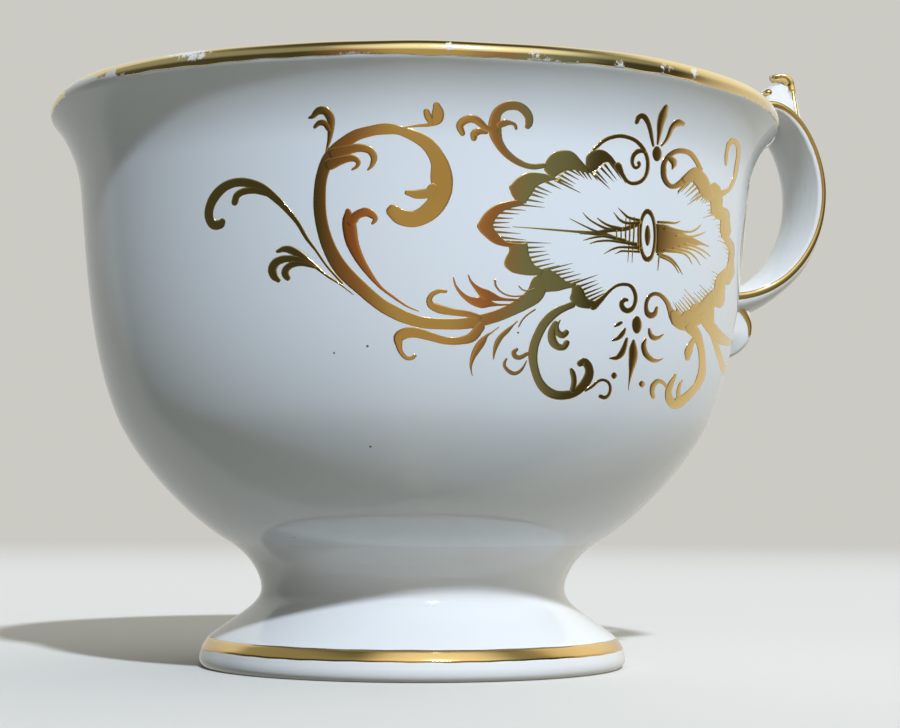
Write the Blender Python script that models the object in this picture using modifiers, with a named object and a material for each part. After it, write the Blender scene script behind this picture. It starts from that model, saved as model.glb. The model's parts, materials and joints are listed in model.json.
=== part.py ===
"""Footed porcelain tea cup with a high spurred handle, as separate luted and gilded pieces.

Lengths are metres, +Z is up and the handle points along +X. The cup stands on the
ring under its pedestal foot at Z = 0.
"""
import math
from typing import NamedTuple

import bmesh
import bpy
from mathutils import Vector
from mathutils.geometry import interpolate_bezier

# Directions of travel along a half section, in degrees
OUTWARD = 0.0
UPWARD = 90.0
INWARD = 180.0
DOWNWARD = 270.0

# Fits between pieces
SEAT_GAP = 0.00025
SLIP_THICKNESS = 0.0004
GILDING = 0.00025

# Bowl, outside: rim, waist under the lip, shoulder, and the seat on the foot
RIM_RADIUS = 0.0480
BOWL_HEIGHT = 0.0570
LIP_THICKNESS = 0.0026
LIP_FLARE_ANGLE = -45.0
LIP_PULL = 0.0030
WAIST_RADIUS = 0.0440
WAIST_DROP = 0.0105
WAIST_HEADING = 264.0
WAIST_PULL_UP = 0.0032
WAIST_PULL_DOWN = 0.0085
SHOULDER_RADIUS = 0.0388
SHOULDER_RISE = 0.0170
SHOULDER_HEADING = 246.5
SHOULDER_PULL_UP = 0.0098
SHOULDER_PULL_DOWN = 0.0066
SEAT_RADIUS = 0.0221
SEAT_HEADING = 203.0
SEAT_PULL = 0.0066

# Bowl, inside
FLOOR_THICKNESS = 0.0036
WELL_RADIUS = 0.0120

# Pedestal foot
FOOT_HEIGHT = 0.0150
NECK_RADIUS = 0.0217
NECK_HEADING = 233.0
NECK_PULL = 0.00125
STEM_RADIUS = 0.0199
STEM_HEIGHT = 0.0100
STEM_PULL_UP = 0.0016
STEM_PULL_DOWN = 0.0022
FLANGE_RADIUS = 0.0278
FLANGE_HEIGHT = 0.0013
FLANGE_HEADING = 321.0
FLANGE_PULL = 0.0041
BAND_TOP_INSET = 0.0012
BAND_TOP_HEIGHT = 0.0038
BAND_FOOT_INSET = 0.0003
BAND_FOOT_HEIGHT = 0.0024
BASE_ROUND = 0.0010
FOOT_RING_WIDTH = 0.0034
HOLLOW_STEP = 0.0012
FOOT_WALL = 0.0046
FOOT_BORE_RADIUS = 0.0142

# Gilding on the lip: where it ends outside and inside, as angles round the lip
LIP_GILT_OUTER_ANGLE = -12.0
LIP_GILT_INNER_ANGLE = 118.0

# Handle ribbon, along the line of its finger side
ROOT_DROP = 0.0025
ROOT_SINK = 0.0010
ROOT_HEADING = 10.0
ROOT_PULL = 0.0070
CREST_OUTSET = 0.0020
CREST_RISE = 0.0039
CREST_PULL_IN = 0.0012
CREST_PULL_OUT = 0.0027
FINGER_GAP = 0.0119
GRIP_DROP = 0.0076
GRIP_PULL_UP = 0.0053
GRIP_PULL_DOWN = 0.0088
LOOP_DROP = 0.0219
FOOTING_PULL = 0.0070
ROOT_WIDTH = 0.0092
CREST_WIDTH = 0.0112
GRIP_WIDTH = 0.0120
FOOTING_WIDTH = 0.0104
RIBBON_EDGE = 0.0010
ROOT_CROWN = 0.0018
CREST_CROWN = 0.0012
GRIP_CROWN = 0.0010
FOOTING_CROWN = 0.0026
FINGER_HOLLOW = 0.0003

# Thumb spur standing on the ribbon, and its tip curled back over the cup
SPUR_OUTSET = 0.0069
SPUR_RISE = 0.0042
SPUR_LEAN = 0.0015
SPUR_HEADING = 280.0
SPUR_CURL = 0.0013
SPUR_CURL_RISE = 0.0004
SPUR_CURL_HEADING = 50.0
SPUR_BEND_PULL = 0.0011
SPUR_BASE_PULL = 0.0030
SPUR_SEAT = 0.0001
SPUR_BASE_WIDTH = 0.0064
SPUR_TIP_WIDTH = 0.0026
SPUR_POINT_WIDTH = 0.0014
SPUR_BASE_THICKNESS = 0.0018
SPUR_TIP_THICKNESS = 0.0009

# Tail scroll under the lower end of the ribbon, hugging the bowl
TAIL_LENGTH = 0.0080
TAIL_SWELL = 0.0051
TAIL_TIP_SWELL = 0.0016
TAIL_SINK = 0.0012
TAIL_PULL = 0.0016
TAIL_TOP_HEADING = 275.0
TAIL_END_HEADING = 226.0
TAIL_WIDTH = 0.0078
TAIL_TIP_WIDTH = 0.0040
TAIL_CROWN = 0.0010

# Fineness of the curves
TURN_STEPS = 60
WALL_STEPS = 6
FOOT_STEPS = 5
LIP_STEPS = 5
TURN_IN_STEPS = 3
BASE_STEPS = 4
MERGE_DISTANCE = 0.000005
RIBBON_STEPS = 13
SPUR_STEPS = 8
TAIL_STEPS = 8
CROWN_POINTS = 7
FINGER_POINTS = 4
SMOOTH_ANGLE = 40.0

# Tints of the plain finishes
PORCELAIN_TINT = (0.83, 0.85, 0.86)
PORCELAIN_ROUGHNESS = 0.12
SLIP_TINT = (0.78, 0.79, 0.78)
SLIP_ROUGHNESS = 0.35
GOLD_TINT = (0.75, 0.53, 0.20)
GOLD_ROUGHNESS = 0.22


class Knot(NamedTuple):
    """One point of a hand-drawn curve: place, direction of travel and its two pulls."""

    across: float
    height: float
    heading: float
    pull_in: float
    pull_out: float

    def place(self):
        return Vector((self.across, self.height))

    def direction(self):
        angle = math.radians(self.heading)
        return Vector((math.cos(angle), math.sin(angle)))


def curve_through(knots, steps):
    """Points of the smooth curve through the knots, each stretch cut in the given steps."""
    points = []
    for first, last in zip(knots, knots[1:]):
        start = first.place()
        end = last.place()
        leave = start + first.direction() * first.pull_out
        arrive = end - last.direction() * last.pull_in
        stretch = interpolate_bezier(start, leave, arrive, end, steps + 1)
        points.extend(stretch if not points else stretch[1:])
    return points


def headings_along(points):
    """Unit direction of travel at each point of a line."""
    headings = []
    for index in range(len(points)):
        before = points[max(index - 1, 0)]
        after = points[min(index + 1, len(points) - 1)]
        headings.append((after - before).normalized())
    return headings


def beside(points, distances):
    """The line moved to the left of its direction of travel, by a distance at each point."""
    moved = []
    for point, heading, distance in zip(points, headings_along(points), distances):
        moved.append(point + Vector((-heading.y, heading.x)) * distance)
    return moved


def arc(centre, radius, start_angle, end_angle, steps):
    """Points of a round stretch, from one angle in degrees to another."""
    points = []
    for index in range(steps + 1):
        angle = math.radians(start_angle + (end_angle - start_angle) * index / steps)
        points.append(centre + Vector((math.cos(angle), math.sin(angle))) * radius)
    return points


# Places shared by several pieces
LIP_RADIUS = LIP_THICKNESS / 2
RIM_HEIGHT = FOOT_HEIGHT + BOWL_HEIGHT
LIP_CENTRE = Vector((RIM_RADIUS - LIP_RADIUS, RIM_HEIGHT - LIP_RADIUS))
LIP_BACK_ANGLE = LIP_FLARE_ANGLE + INWARD
GILT_BED = GILDING + SEAT_GAP
JOINT_DEPTH = SLIP_THICKNESS + 2 * SEAT_GAP
FOOT_TOP = FOOT_HEIGHT - JOINT_DEPTH


def bowl_outside():
    """Outer line of the bowl from under the lip down to the seat on the foot."""
    lip = arc(LIP_CENTRE, LIP_RADIUS, LIP_FLARE_ANGLE, LIP_FLARE_ANGLE, 1)[0]
    waist_height = RIM_HEIGHT - WAIST_DROP
    shoulder_height = FOOT_HEIGHT + SHOULDER_RISE
    shoulder_pulls = (SHOULDER_PULL_UP, SHOULDER_PULL_DOWN)
    knots = [
        Knot(lip.x, lip.y, LIP_FLARE_ANGLE - UPWARD, 0.0, LIP_PULL),
        Knot(WAIST_RADIUS, waist_height, WAIST_HEADING, WAIST_PULL_UP, WAIST_PULL_DOWN),
        Knot(SHOULDER_RADIUS, shoulder_height, SHOULDER_HEADING, *shoulder_pulls),
        Knot(SEAT_RADIUS, FOOT_HEIGHT, SEAT_HEADING, SEAT_PULL, 0.0),
    ]
    return curve_through(knots, WALL_STEPS)


def bowl_radius_at(height):
    """Outer radius of the bowl at a height."""
    line = bowl_outside()
    for upper, lower in zip(line, line[1:]):
        if lower.y <= height <= upper.y:
            share = (height - lower.y) / (upper.y - lower.y)
            return lower.x + (upper.x - lower.x) * share
    return RIM_RADIUS if height > line[0].y else SEAT_RADIUS


def bowl_profile():
    """Half section of the bowl: floor, inner wall, lip without its gilding, outer wall, seat."""
    outside = bowl_outside()
    last = len(outside) - 1
    growth = FLOOR_THICKNESS - LIP_THICKNESS
    wall = [-LIP_THICKNESS - growth * index / last for index in range(last + 1)]
    inside = beside(outside, wall)
    floor_height = FOOT_HEIGHT + FLOOR_THICKNESS
    inside = [point for point in inside if point.y > floor_height and point.x > WELL_RADIUS]
    well = [Vector((0.0, floor_height)), Vector((WELL_RADIUS, floor_height))]
    gilt_span = (LIP_GILT_INNER_ANGLE, LIP_GILT_OUTER_ANGLE)
    lip = arc(LIP_CENTRE, LIP_RADIUS - GILT_BED, *gilt_span, LIP_STEPS)
    inner_turn = arc(LIP_CENTRE, LIP_RADIUS, LIP_BACK_ANGLE, LIP_GILT_INNER_ANGLE, TURN_IN_STEPS)
    outer_turn = arc(LIP_CENTRE, LIP_RADIUS, LIP_GILT_OUTER_ANGLE, LIP_FLARE_ANGLE, TURN_IN_STEPS)
    seat = [Vector((0.0, FOOT_HEIGHT))]
    return well + inside[:0:-1] + inner_turn + lip + outer_turn + outside[1:] + seat


def lip_gilding_profile():
    """Closed section of the gilding that caps the lip."""
    clear = math.degrees(SEAT_GAP / LIP_RADIUS)
    inner_end = LIP_GILT_INNER_ANGLE - clear
    outer_end = LIP_GILT_OUTER_ANGLE + clear
    face = arc(LIP_CENTRE, LIP_RADIUS, inner_end, outer_end, LIP_STEPS)
    back = arc(LIP_CENTRE, LIP_RADIUS - GILDING, outer_end, inner_end, LIP_STEPS)
    return face + back


def foot_neck_line():
    """Outer line of the foot from its top, round the stem, out to the gilt band."""
    band_top = FLANGE_RADIUS - BAND_TOP_INSET
    knots = [
        Knot(NECK_RADIUS, FOOT_TOP, NECK_HEADING, 0.0, NECK_PULL),
        Knot(STEM_RADIUS, STEM_HEIGHT, DOWNWARD, STEM_PULL_UP, STEM_PULL_DOWN),
        Knot(band_top, BAND_TOP_HEIGHT, FLANGE_HEADING, FLANGE_PULL, 0.0),
    ]
    return curve_through(knots, FOOT_STEPS)


def band_corners():
    """Upper and lower outer corners of the gilt band on the foot, and its inward direction."""
    upper = Vector((FLANGE_RADIUS - BAND_TOP_INSET, BAND_TOP_HEIGHT))
    lower = Vector((FLANGE_RADIUS - BAND_FOOT_INSET, BAND_FOOT_HEIGHT))
    down = (lower - upper).normalized()
    return upper, lower, Vector((down.y, -down.x))


def foot_profile():
    """Closed half section of the hollow pedestal foot, with the bed for its gilt band."""
    outside = foot_neck_line()
    upper, lower, inward = band_corners()
    bed = [upper + inward * GILT_BED, lower + inward * GILT_BED]
    flange = Vector((FLANGE_RADIUS, FLANGE_HEIGHT))
    base_centre = Vector((FLANGE_RADIUS - BASE_ROUND, BASE_ROUND))
    base = [lower, flange] + arc(base_centre, BASE_ROUND, OUTWARD, -UPWARD, BASE_STEPS)[1:]
    ring_inside = FLANGE_RADIUS - BASE_ROUND - FOOT_RING_WIDTH
    ring = [Vector((ring_inside, 0.0)), Vector((ring_inside - HOLLOW_STEP, HOLLOW_STEP))]
    hollow = beside(outside, [-FOOT_WALL] * len(outside))
    low = ring[-1]
    hollow = [point for point in hollow if low.y < point.y < FOOT_TOP]
    hollow = [point for point in hollow if FOOT_BORE_RADIUS < point.x < low.x]
    mouth = [Vector((FOOT_BORE_RADIUS, FOOT_TOP))]
    return outside + bed + base + ring + hollow[::-1] + mouth


def foot_gilding_profile():
    """Closed section of the gilt band round the foot."""
    upper, lower, inward = band_corners()
    along = (lower - upper).normalized() * SEAT_GAP
    top = upper + along
    bottom = lower - along
    return [top, bottom, bottom + inward * GILDING, top + inward * GILDING]


def slip_ring_profile():
    """Closed section of the slip that lutes the bowl to the foot."""
    top = FOOT_HEIGHT - SEAT_GAP
    bottom = FOOT_TOP + SEAT_GAP
    outer = NECK_RADIUS - SEAT_GAP
    inner = FOOT_BORE_RADIUS + SEAT_GAP
    outer_side = [Vector((outer, top)), Vector((outer, bottom))]
    inner_side = [Vector((inner, bottom)), Vector((inner, top))]
    return outer_side + inner_side


def ribbon_line():
    """Finger side of the handle: out of the lip, over the crest, round the grip, to the bowl."""
    root_height = RIM_HEIGHT - ROOT_DROP
    footing_height = RIM_HEIGHT - LOOP_DROP
    root = bowl_radius_at(root_height) - ROOT_SINK
    crest_height = RIM_HEIGHT + CREST_RISE
    grip = WAIST_RADIUS + FINGER_GAP
    grip_height = RIM_HEIGHT - GRIP_DROP
    footing = bowl_radius_at(footing_height)
    knots = [
        Knot(root, root_height, ROOT_HEADING, 0.0, ROOT_PULL),
        Knot(RIM_RADIUS + CREST_OUTSET, crest_height, OUTWARD, CREST_PULL_IN, CREST_PULL_OUT),
        Knot(grip, grip_height, DOWNWARD, GRIP_PULL_UP, GRIP_PULL_DOWN),
        Knot(footing, footing_height, INWARD, FOOTING_PULL, 0.0),
    ]
    line = curve_through(knots, RIBBON_STEPS)
    inside_wall = Vector((footing - ROOT_SINK, footing_height))
    return line + [inside_wall]


def eased(values, count):
    """A smooth run of values through evenly spaced ones."""
    run = []
    for index in range(count):
        place = index * (len(values) - 1) / (count - 1)
        first = min(int(place), len(values) - 2)
        share = place - first
        share = share * share * (3 - 2 * share)
        run.append(values[first] + (values[first + 1] - values[first]) * share)
    return run


def ribbon_widths(count):
    """Width of the gilded handle at each point of its line."""
    return eased([ROOT_WIDTH, CREST_WIDTH, GRIP_WIDTH, FOOTING_WIDTH], count)


def ribbon_crowns(count):
    """Height of the rounded outer side above the edges, at each point of the handle's line."""
    return eased([ROOT_CROWN, CREST_CROWN, GRIP_CROWN, FOOTING_CROWN], count)


def ribbon_section(width, edge, crown):
    """Section of a ribbon: a slightly hollow finger side, square edges and a rounded crown."""
    half = width / 2
    section = []
    for index in range(FINGER_POINTS + 1):
        across = half - width * index / FINGER_POINTS
        depth = FINGER_HOLLOW * (1 - (across / half) ** 2)
        section.append(Vector((across, min(depth, edge / 2))))
    for index in range(CROWN_POINTS + 1):
        turn = math.pi * index / CROWN_POINTS
        section.append(Vector((-half * math.cos(turn), edge + crown * math.sin(turn))))
    return section


def edge_section(side, width):
    """Section of the gilt line on one edge of the ribbon."""
    outer = side * width / 2
    inner = outer - side * GILDING
    finger_side = [Vector((inner, 0.0)), Vector((outer, 0.0))]
    crown_side = [Vector((outer, RIBBON_EDGE)), Vector((inner, RIBBON_EDGE))]
    return finger_side + crown_side


def loft(line, sections):
    """Closed mesh through sections that stand square to a line in the handle's plane."""
    shape = bmesh.new()
    rings = []
    for point, heading, section in zip(line, headings_along(line), sections):
        out = Vector((-heading.y, heading.x))
        ring = []
        for across, lift in section:
            place = point + out * lift
            ring.append(shape.verts.new((place.x, across, place.y)))
        rings.append(ring)
    for near, far in zip(rings, rings[1:]):
        for index in range(len(near)):
            after = (index + 1) % len(near)
            shape.faces.new((near[index], near[after], far[after], far[index]))
    shape.faces.new(rings[0][::-1])
    shape.faces.new(rings[-1])
    bmesh.ops.recalc_face_normals(shape, faces=shape.faces)
    mesh = bpy.data.meshes.new("loft")
    shape.to_mesh(mesh)
    shape.free()
    return mesh


def loop_mesh():
    """The handle's main ribbon, in porcelain, narrower by its gilt edges."""
    line = ribbon_line()
    sections = []
    for width, crown in zip(ribbon_widths(len(line)), ribbon_crowns(len(line))):
        sections.append(ribbon_section(width - 2 * GILT_BED, RIBBON_EDGE, crown))
    return loft(line, sections)


def ribbon_knot_over(out, pull_in):
    """A knot on the finger side between crest and grip, at a distance from the axis."""
    line = ribbon_line()
    fall = line[RIBBON_STEPS:2 * RIBBON_STEPS + 1]
    nearest = min(range(len(fall)), key=lambda index: abs(fall[index].x - out))
    heading = headings_along(fall)[nearest]
    outward = Vector((-heading.y, heading.x)) * SPUR_SEAT
    seat = fall[nearest] + outward
    return Knot(seat.x, seat.y, math.degrees(math.atan2(heading.y, heading.x)), pull_in, 0.0)


def spur_mesh():
    """Thumb spur, drawn from its curled tip down into the crown of the ribbon."""
    base = ribbon_knot_over(RIM_RADIUS + SPUR_OUTSET, SPUR_BASE_PULL)
    bend = base.across - SPUR_LEAN
    bend_height = RIM_HEIGHT + CREST_RISE + SPUR_RISE
    tip_height = bend_height + SPUR_CURL_RISE
    knots = [
        Knot(bend - SPUR_CURL, tip_height, SPUR_CURL_HEADING, 0.0, SPUR_BEND_PULL),
        Knot(bend, bend_height, SPUR_HEADING, SPUR_BEND_PULL, SPUR_BEND_PULL),
        base,
    ]
    line = curve_through(knots, SPUR_STEPS)
    widths = eased([SPUR_POINT_WIDTH, SPUR_TIP_WIDTH, SPUR_BASE_WIDTH], len(line))
    depths = eased([SPUR_TIP_THICKNESS, SPUR_TIP_THICKNESS, SPUR_BASE_THICKNESS], len(line))
    sections = []
    for width, depth in zip(widths, depths):
        sections.append(ribbon_section(width, depth / 2, depth / 2))
    return loft(line, sections)


def tail_mesh():
    """Tail scroll, from inside the ribbon's lower end down the wall of the bowl."""
    top = RIM_HEIGHT - LOOP_DROP - RIBBON_EDGE
    middle = top - TAIL_LENGTH / 2
    bottom = top - TAIL_LENGTH
    knots = [
        Knot(bowl_radius_at(top) - TAIL_SINK, top, TAIL_TOP_HEADING, 0.0, TAIL_PULL),
        Knot(bowl_radius_at(middle), middle, DOWNWARD, TAIL_PULL, TAIL_PULL),
        Knot(bowl_radius_at(bottom) - TAIL_SINK, bottom, TAIL_END_HEADING, TAIL_PULL, 0.0),
    ]
    line = curve_through(knots, TAIL_STEPS)
    widths = eased([TAIL_WIDTH, TAIL_WIDTH, TAIL_TIP_WIDTH], len(line))
    swells = eased([TAIL_SWELL, TAIL_SWELL, TAIL_TIP_SWELL], len(line))
    crown_share = TAIL_CROWN / TAIL_SWELL
    sections = []
    for width, swell in zip(widths, swells):
        crown = swell * crown_share
        sections.append(ribbon_section(width, swell - crown, crown))
    return loft(line, sections)


def gilt_edge_mesh(side):
    """Gilt line along one edge of the ribbon."""
    line = ribbon_line()
    return loft(line, [edge_section(side, width) for width in ribbon_widths(len(line))])


def bowl_cover(clearance, top, bottom):
    """Outer line of the lip and bowl, moved out by a clearance, between two heights."""
    outside = bowl_outside()
    lip = arc(LIP_CENTRE, LIP_RADIUS + clearance, UPWARD, LIP_FLARE_ANGLE, LIP_STEPS)
    wall = beside(outside, [clearance] * len(outside))[1:]
    return [point for point in lip + wall if bottom <= point.y <= top]


def set_material(piece, material):
    """Give a piece its one material."""
    piece.data.materials.clear()
    piece.data.materials.append(material)


def finish(name, tint, roughness, metallic):
    """A plain material of one tint."""
    material = bpy.data.materials.new(name)
    material.use_nodes = True
    shader = material.node_tree.nodes["Principled BSDF"]
    shader.inputs["Base Color"].default_value = (*tint, 1.0)
    shader.inputs["Roughness"].default_value = roughness
    shader.inputs["Metallic"].default_value = metallic
    return material


def place(name, mesh, collection, frame):
    """Put a mesh in the scene under the cup's frame."""
    piece = bpy.data.objects.new(name, mesh)
    collection.objects.link(piece)
    piece.parent = frame
    return piece


def turned(name, profile, collection, frame, closed):
    """A piece turned about the cup's axis from its half section."""
    mesh = bpy.data.meshes.new(name)
    count = len(profile)
    edges = [(index, index + 1) for index in range(count - 1)]
    if closed:
        edges.append((count - 1, 0))
    mesh.from_pydata([(point.x, 0.0, point.y) for point in profile], edges, [])
    piece = place(name, mesh, collection, frame)
    screw = piece.modifiers.new("turn", "SCREW")
    screw.axis = "Z"
    screw.angle = math.tau
    screw.steps = TURN_STEPS
    screw.render_steps = TURN_STEPS
    screw.use_merge_vertices = True
    screw.merge_threshold = MERGE_DISTANCE
    return piece


def combine(piece, tool, operation):
    """Join, cut or keep the common part of two solids."""
    boolean = piece.modifiers.new(operation.lower(), "BOOLEAN")
    boolean.operation = operation
    boolean.object = tool
    boolean.solver = "EXACT"


def hide_tool(tool):
    """Show a cutter as wire and keep it out of the cup."""
    tool.hide_render = True
    tool.display_type = "WIRE"


def smooth(piece):
    """Shade a piece smooth up to its sharp edges."""
    piece.data.shade_smooth()
    piece.data.set_sharp_from_angle(angle=math.radians(SMOOTH_ANGLE))


def handle_reach():
    """Furthest point of the handle's crown from the cup's axis."""
    line = ribbon_line()
    thicknesses = [RIBBON_EDGE + crown for crown in ribbon_crowns(len(line))]
    return max(point.x for point in beside(line, thicknesses))


def new_collection(name):
    """A collection of the scene."""
    collection = bpy.data.collections.new(name)
    bpy.context.scene.collection.children.link(collection)
    return collection


def main():
    for leftover in list(bpy.data.objects):
        bpy.data.objects.remove(leftover, do_unlink=True)
    cup = new_collection("footed_cup")
    tools = new_collection("cutters")

    frame = bpy.data.objects.new("cup_axis", None)
    cup.objects.link(frame)
    frame.location.x = (RIM_RADIUS - handle_reach()) / 2

    porcelain = finish("porcelain", PORCELAIN_TINT, PORCELAIN_ROUGHNESS, 0.0)
    slip = finish("fired_slip", SLIP_TINT, SLIP_ROUGHNESS, 0.0)
    gold = finish("burnished_gold", GOLD_TINT, GOLD_ROUGHNESS, 1.0)

    bowl = turned("bowl", bowl_profile(), cup, frame, False)
    foot = turned("pedestal_foot", foot_profile(), cup, frame, True)
    foot_slip = turned("foot_slip_joint", slip_ring_profile(), cup, frame, True)
    lip_gilding = turned("rim_gilt_band", lip_gilding_profile(), cup, frame, True)
    foot_gilding = turned("foot_gilt_band", foot_gilding_profile(), cup, frame, True)

    spur = place("spur_blank", spur_mesh(), tools, frame)
    tail = place("tail_blank", tail_mesh(), tools, frame)
    blank = place("handle_blank", loop_mesh(), tools, frame)
    combine(blank, spur, "UNION")
    combine(blank, tail, "UNION")

    joint_split = RIM_HEIGHT - (ROOT_DROP + LOOP_DROP) / 2
    cover = bowl_cover(JOINT_DEPTH, RIM_HEIGHT + JOINT_DEPTH, FOOT_HEIGHT)
    core_line = [Vector((0.0, cover[0].y))] + cover + [Vector((0.0, cover[-1].y))]
    core = turned("bowl_core", core_line, tools, frame, False)

    handle = place("handle", loop_mesh(), cup, frame)
    combine(handle, spur, "UNION")
    combine(handle, tail, "UNION")
    combine(handle, core, "DIFFERENCE")

    edges = []
    for name, side in (("handle_gilt_edge_front", -1), ("handle_gilt_edge_back", 1)):
        edge = place(name, gilt_edge_mesh(side), cup, frame)
        combine(edge, core, "DIFFERENCE")
        edges.append(edge)

    joints = []
    spans = {
        "handle_upper_slip_joint": (RIM_HEIGHT + JOINT_DEPTH, joint_split),
        "handle_lower_slip_joint": (joint_split, FOOT_HEIGHT + SHOULDER_RISE),
    }
    for name, (top, bottom) in spans.items():
        outer = bowl_cover(SEAT_GAP + SLIP_THICKNESS, top, bottom)
        inner = bowl_cover(SEAT_GAP, top, bottom)
        joint = turned(name, outer + inner[::-1], cup, frame, True)
        combine(joint, blank, "INTERSECT")
        joints.append(joint)

    for tool in (spur, tail, blank, core):
        hide_tool(tool)
    for piece in (bowl, foot, handle):
        set_material(piece, porcelain)
    for piece in [foot_slip] + joints:
        set_material(piece, slip)
    for piece in [lip_gilding, foot_gilding] + edges:
        set_material(piece, gold)
    for piece in [bowl, foot, foot_slip, lip_gilding, foot_gilding, handle] + edges + joints:
        smooth(piece)


main()
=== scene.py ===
"""Looks of a footed porcelain tea cup with gilt foliage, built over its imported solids.

Sizes are millimetres in the cup's own frame: its axis stands at the origin, +Z is up and the
handle points along +X. They become metres when a piece is made.
"""
from __future__ import annotations

import json
import logging
import math
from dataclasses import dataclass, field
from enum import Enum
from typing import Sequence

import bmesh
import bpy
import numpy as np
from mathutils import Matrix, Vector

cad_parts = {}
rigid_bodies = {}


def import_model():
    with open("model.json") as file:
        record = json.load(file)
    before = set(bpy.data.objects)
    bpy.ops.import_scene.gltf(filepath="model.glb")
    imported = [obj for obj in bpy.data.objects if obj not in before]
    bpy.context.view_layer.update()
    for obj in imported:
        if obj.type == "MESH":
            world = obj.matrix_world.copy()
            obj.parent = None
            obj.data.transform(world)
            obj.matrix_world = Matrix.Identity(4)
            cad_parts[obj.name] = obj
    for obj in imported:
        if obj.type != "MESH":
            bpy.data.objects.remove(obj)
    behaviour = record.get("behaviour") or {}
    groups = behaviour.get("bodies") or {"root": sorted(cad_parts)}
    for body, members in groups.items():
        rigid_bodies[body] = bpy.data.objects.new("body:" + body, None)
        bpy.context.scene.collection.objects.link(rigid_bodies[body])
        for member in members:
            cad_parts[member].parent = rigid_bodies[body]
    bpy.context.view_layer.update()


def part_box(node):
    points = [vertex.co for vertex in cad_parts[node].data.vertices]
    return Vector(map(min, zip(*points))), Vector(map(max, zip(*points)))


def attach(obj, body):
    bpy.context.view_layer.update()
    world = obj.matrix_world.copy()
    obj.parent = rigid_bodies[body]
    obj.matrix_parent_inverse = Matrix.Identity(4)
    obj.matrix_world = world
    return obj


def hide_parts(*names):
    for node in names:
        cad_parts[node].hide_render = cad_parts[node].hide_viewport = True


LOG = logging.getLogger("footed_cup")
MM = 0.001
Array = np.ndarray
Points = Sequence[Sequence[float]]
Faces = list[tuple[int, ...]]
Body = tuple[Array, Faces]
Pair = tuple[float, float]
Row = tuple[float, ...]
Material = bpy.types.Material
Node = bpy.types.Node
NodeTree = bpy.types.NodeTree
Socket = bpy.types.NodeSocket

# Directions of travel along a drawn line, in degrees
OUTWARD = 0.0
UPWARD = 90.0
INWARD = 180.0
DOWNWARD = 270.0
HALF_TURN = 180.0
FULL_TURN = 360.0
UP = np.array((0.0, 0.0, 1.0))

# Steps between two points of a flowing line, sides of a round wire, share of each softening
FLOW_STEPS = 12
WIRE_SIDES = 12
SOFTENING = 0.5

# Places of a colour mix's sockets
MIX_SHARE = 0
MIX_FIRST = 6
MIX_SECOND = 7
MIX_RESULT = 2
WHOLE = (0.0, 1.0)

# The hairs of the shell's combs: their inputs, and one hair a millimetre long
HAIR_WIDTH = "Hair Width"
HAIR_HEIGHT = "Hair Height"
HAIR_TIP = "tip"
GOLD = "Gold"
COMB_INPUTS = {"Geometry": "Geometry", HAIR_WIDTH: "Float", HAIR_HEIGHT: "Float", GOLD: "Material"}
HAIR_CONE = {"Vertices": 8, "Side Segments": 7, "Radius Top": 0.06, "Radius Bottom": 0.5, "Depth": 1.0}

# Fineness of the shared noises, and where painted wear breaks through
UNEVEN_DETAIL = {"Slow": 2.0, "Fine": 3.0}
WEAR_NOISE = {"Detail": 4.0, "Roughness": 0.7}
WEAR_BREAK = (0.92, 1.04)


class Slot(Enum):
    """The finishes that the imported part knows."""

    PORCELAIN = "porcelain"
    SLIP = "fired_slip"
    GOLD = "burnished_gold"


class Side(Enum):
    """The two sides of the handle's plane, as the sign of Y."""

    FRONT = -1.0
    BACK = 1.0


@dataclass(frozen=True)
class Knot:
    """One point of a drawn curve: place, direction of travel in degrees and its two pulls."""

    across: float
    height: float
    heading: float
    pull_in: float
    pull_out: float

    def place(self) -> Array:
        """Returns: the knot's place."""
        return np.array((self.across, self.height))

    def direction(self) -> Array:
        """Returns: the unit direction of travel."""
        angle = math.radians(self.heading)
        return np.array((math.cos(angle), math.sin(angle)))


@dataclass(frozen=True)
class Wave:
    """Waves round the cup: how many, how high, and where they start, in radians."""

    count: int
    size: float
    start: float


Waves = tuple[Wave, ...]


@dataclass(frozen=True)
class GoldTone:
    """How coppery a stretch of gilding is, and how worn."""

    copper: float
    wear: float

    def paint(self) -> dict[str, float]:
        """Returns: the tone as painted values."""
        return {"copper": self.copper, "wear": self.wear}


def rippled(angle: Array | float, waves: Sequence[Wave]) -> Array | float:
    """Returns: the height of some waves round the cup at each angle in radians."""
    return sum(wave.size * np.sin(wave.count * angle + wave.start) for wave in waves)


def degrees_off(angle: Array | float, place: float) -> Array | float:
    """Returns: how far an angle is from a place round the cup, the short way, in degrees."""
    return (angle - place + HALF_TURN) % FULL_TURN - HALF_TURN


def smooth(share: Array) -> Array:
    """Returns: a share from 0 to 1, made to ease in and out."""
    return share * share * (3 - 2 * share)


def drawn_curve(knots: Sequence[Knot], steps: int) -> Array:
    """Smooth curve through knots.

    Args:
        knots: the knots in order.
        steps: steps of each stretch between two knots.
    Returns: the points of the curve.
    """
    rows = []
    share = np.linspace(0.0, 1.0, steps + 1)[:, None]
    rest = 1.0 - share
    for first, last in zip(knots, knots[1:]):
        leave = first.place() + first.direction() * first.pull_out
        arrive = last.place() - last.direction() * last.pull_in
        near = rest**3 * first.place() + 3 * rest**2 * share * leave
        far = 3 * rest * share**2 * arrive + share**3 * last.place()
        rows.append((near + far)[1 if rows else 0:])
    return np.vstack(rows)


def headings(line: Array) -> Array:
    """Returns: the unit direction of travel at each point of a line."""
    ahead = np.gradient(line, axis=0)
    return ahead / np.linalg.norm(ahead, axis=1)[:, None]


def heading_at(line: Array, index: int) -> float:
    """Returns: the direction of travel at one point of a line, in degrees."""
    ahead = headings(line)[index]
    return math.degrees(math.atan2(ahead[1], ahead[0]))


def leftward(ahead: Array) -> Array:
    """Returns: the directions to the left of some directions of travel."""
    return np.column_stack((-ahead[:, 1], ahead[:, 0]))


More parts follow.
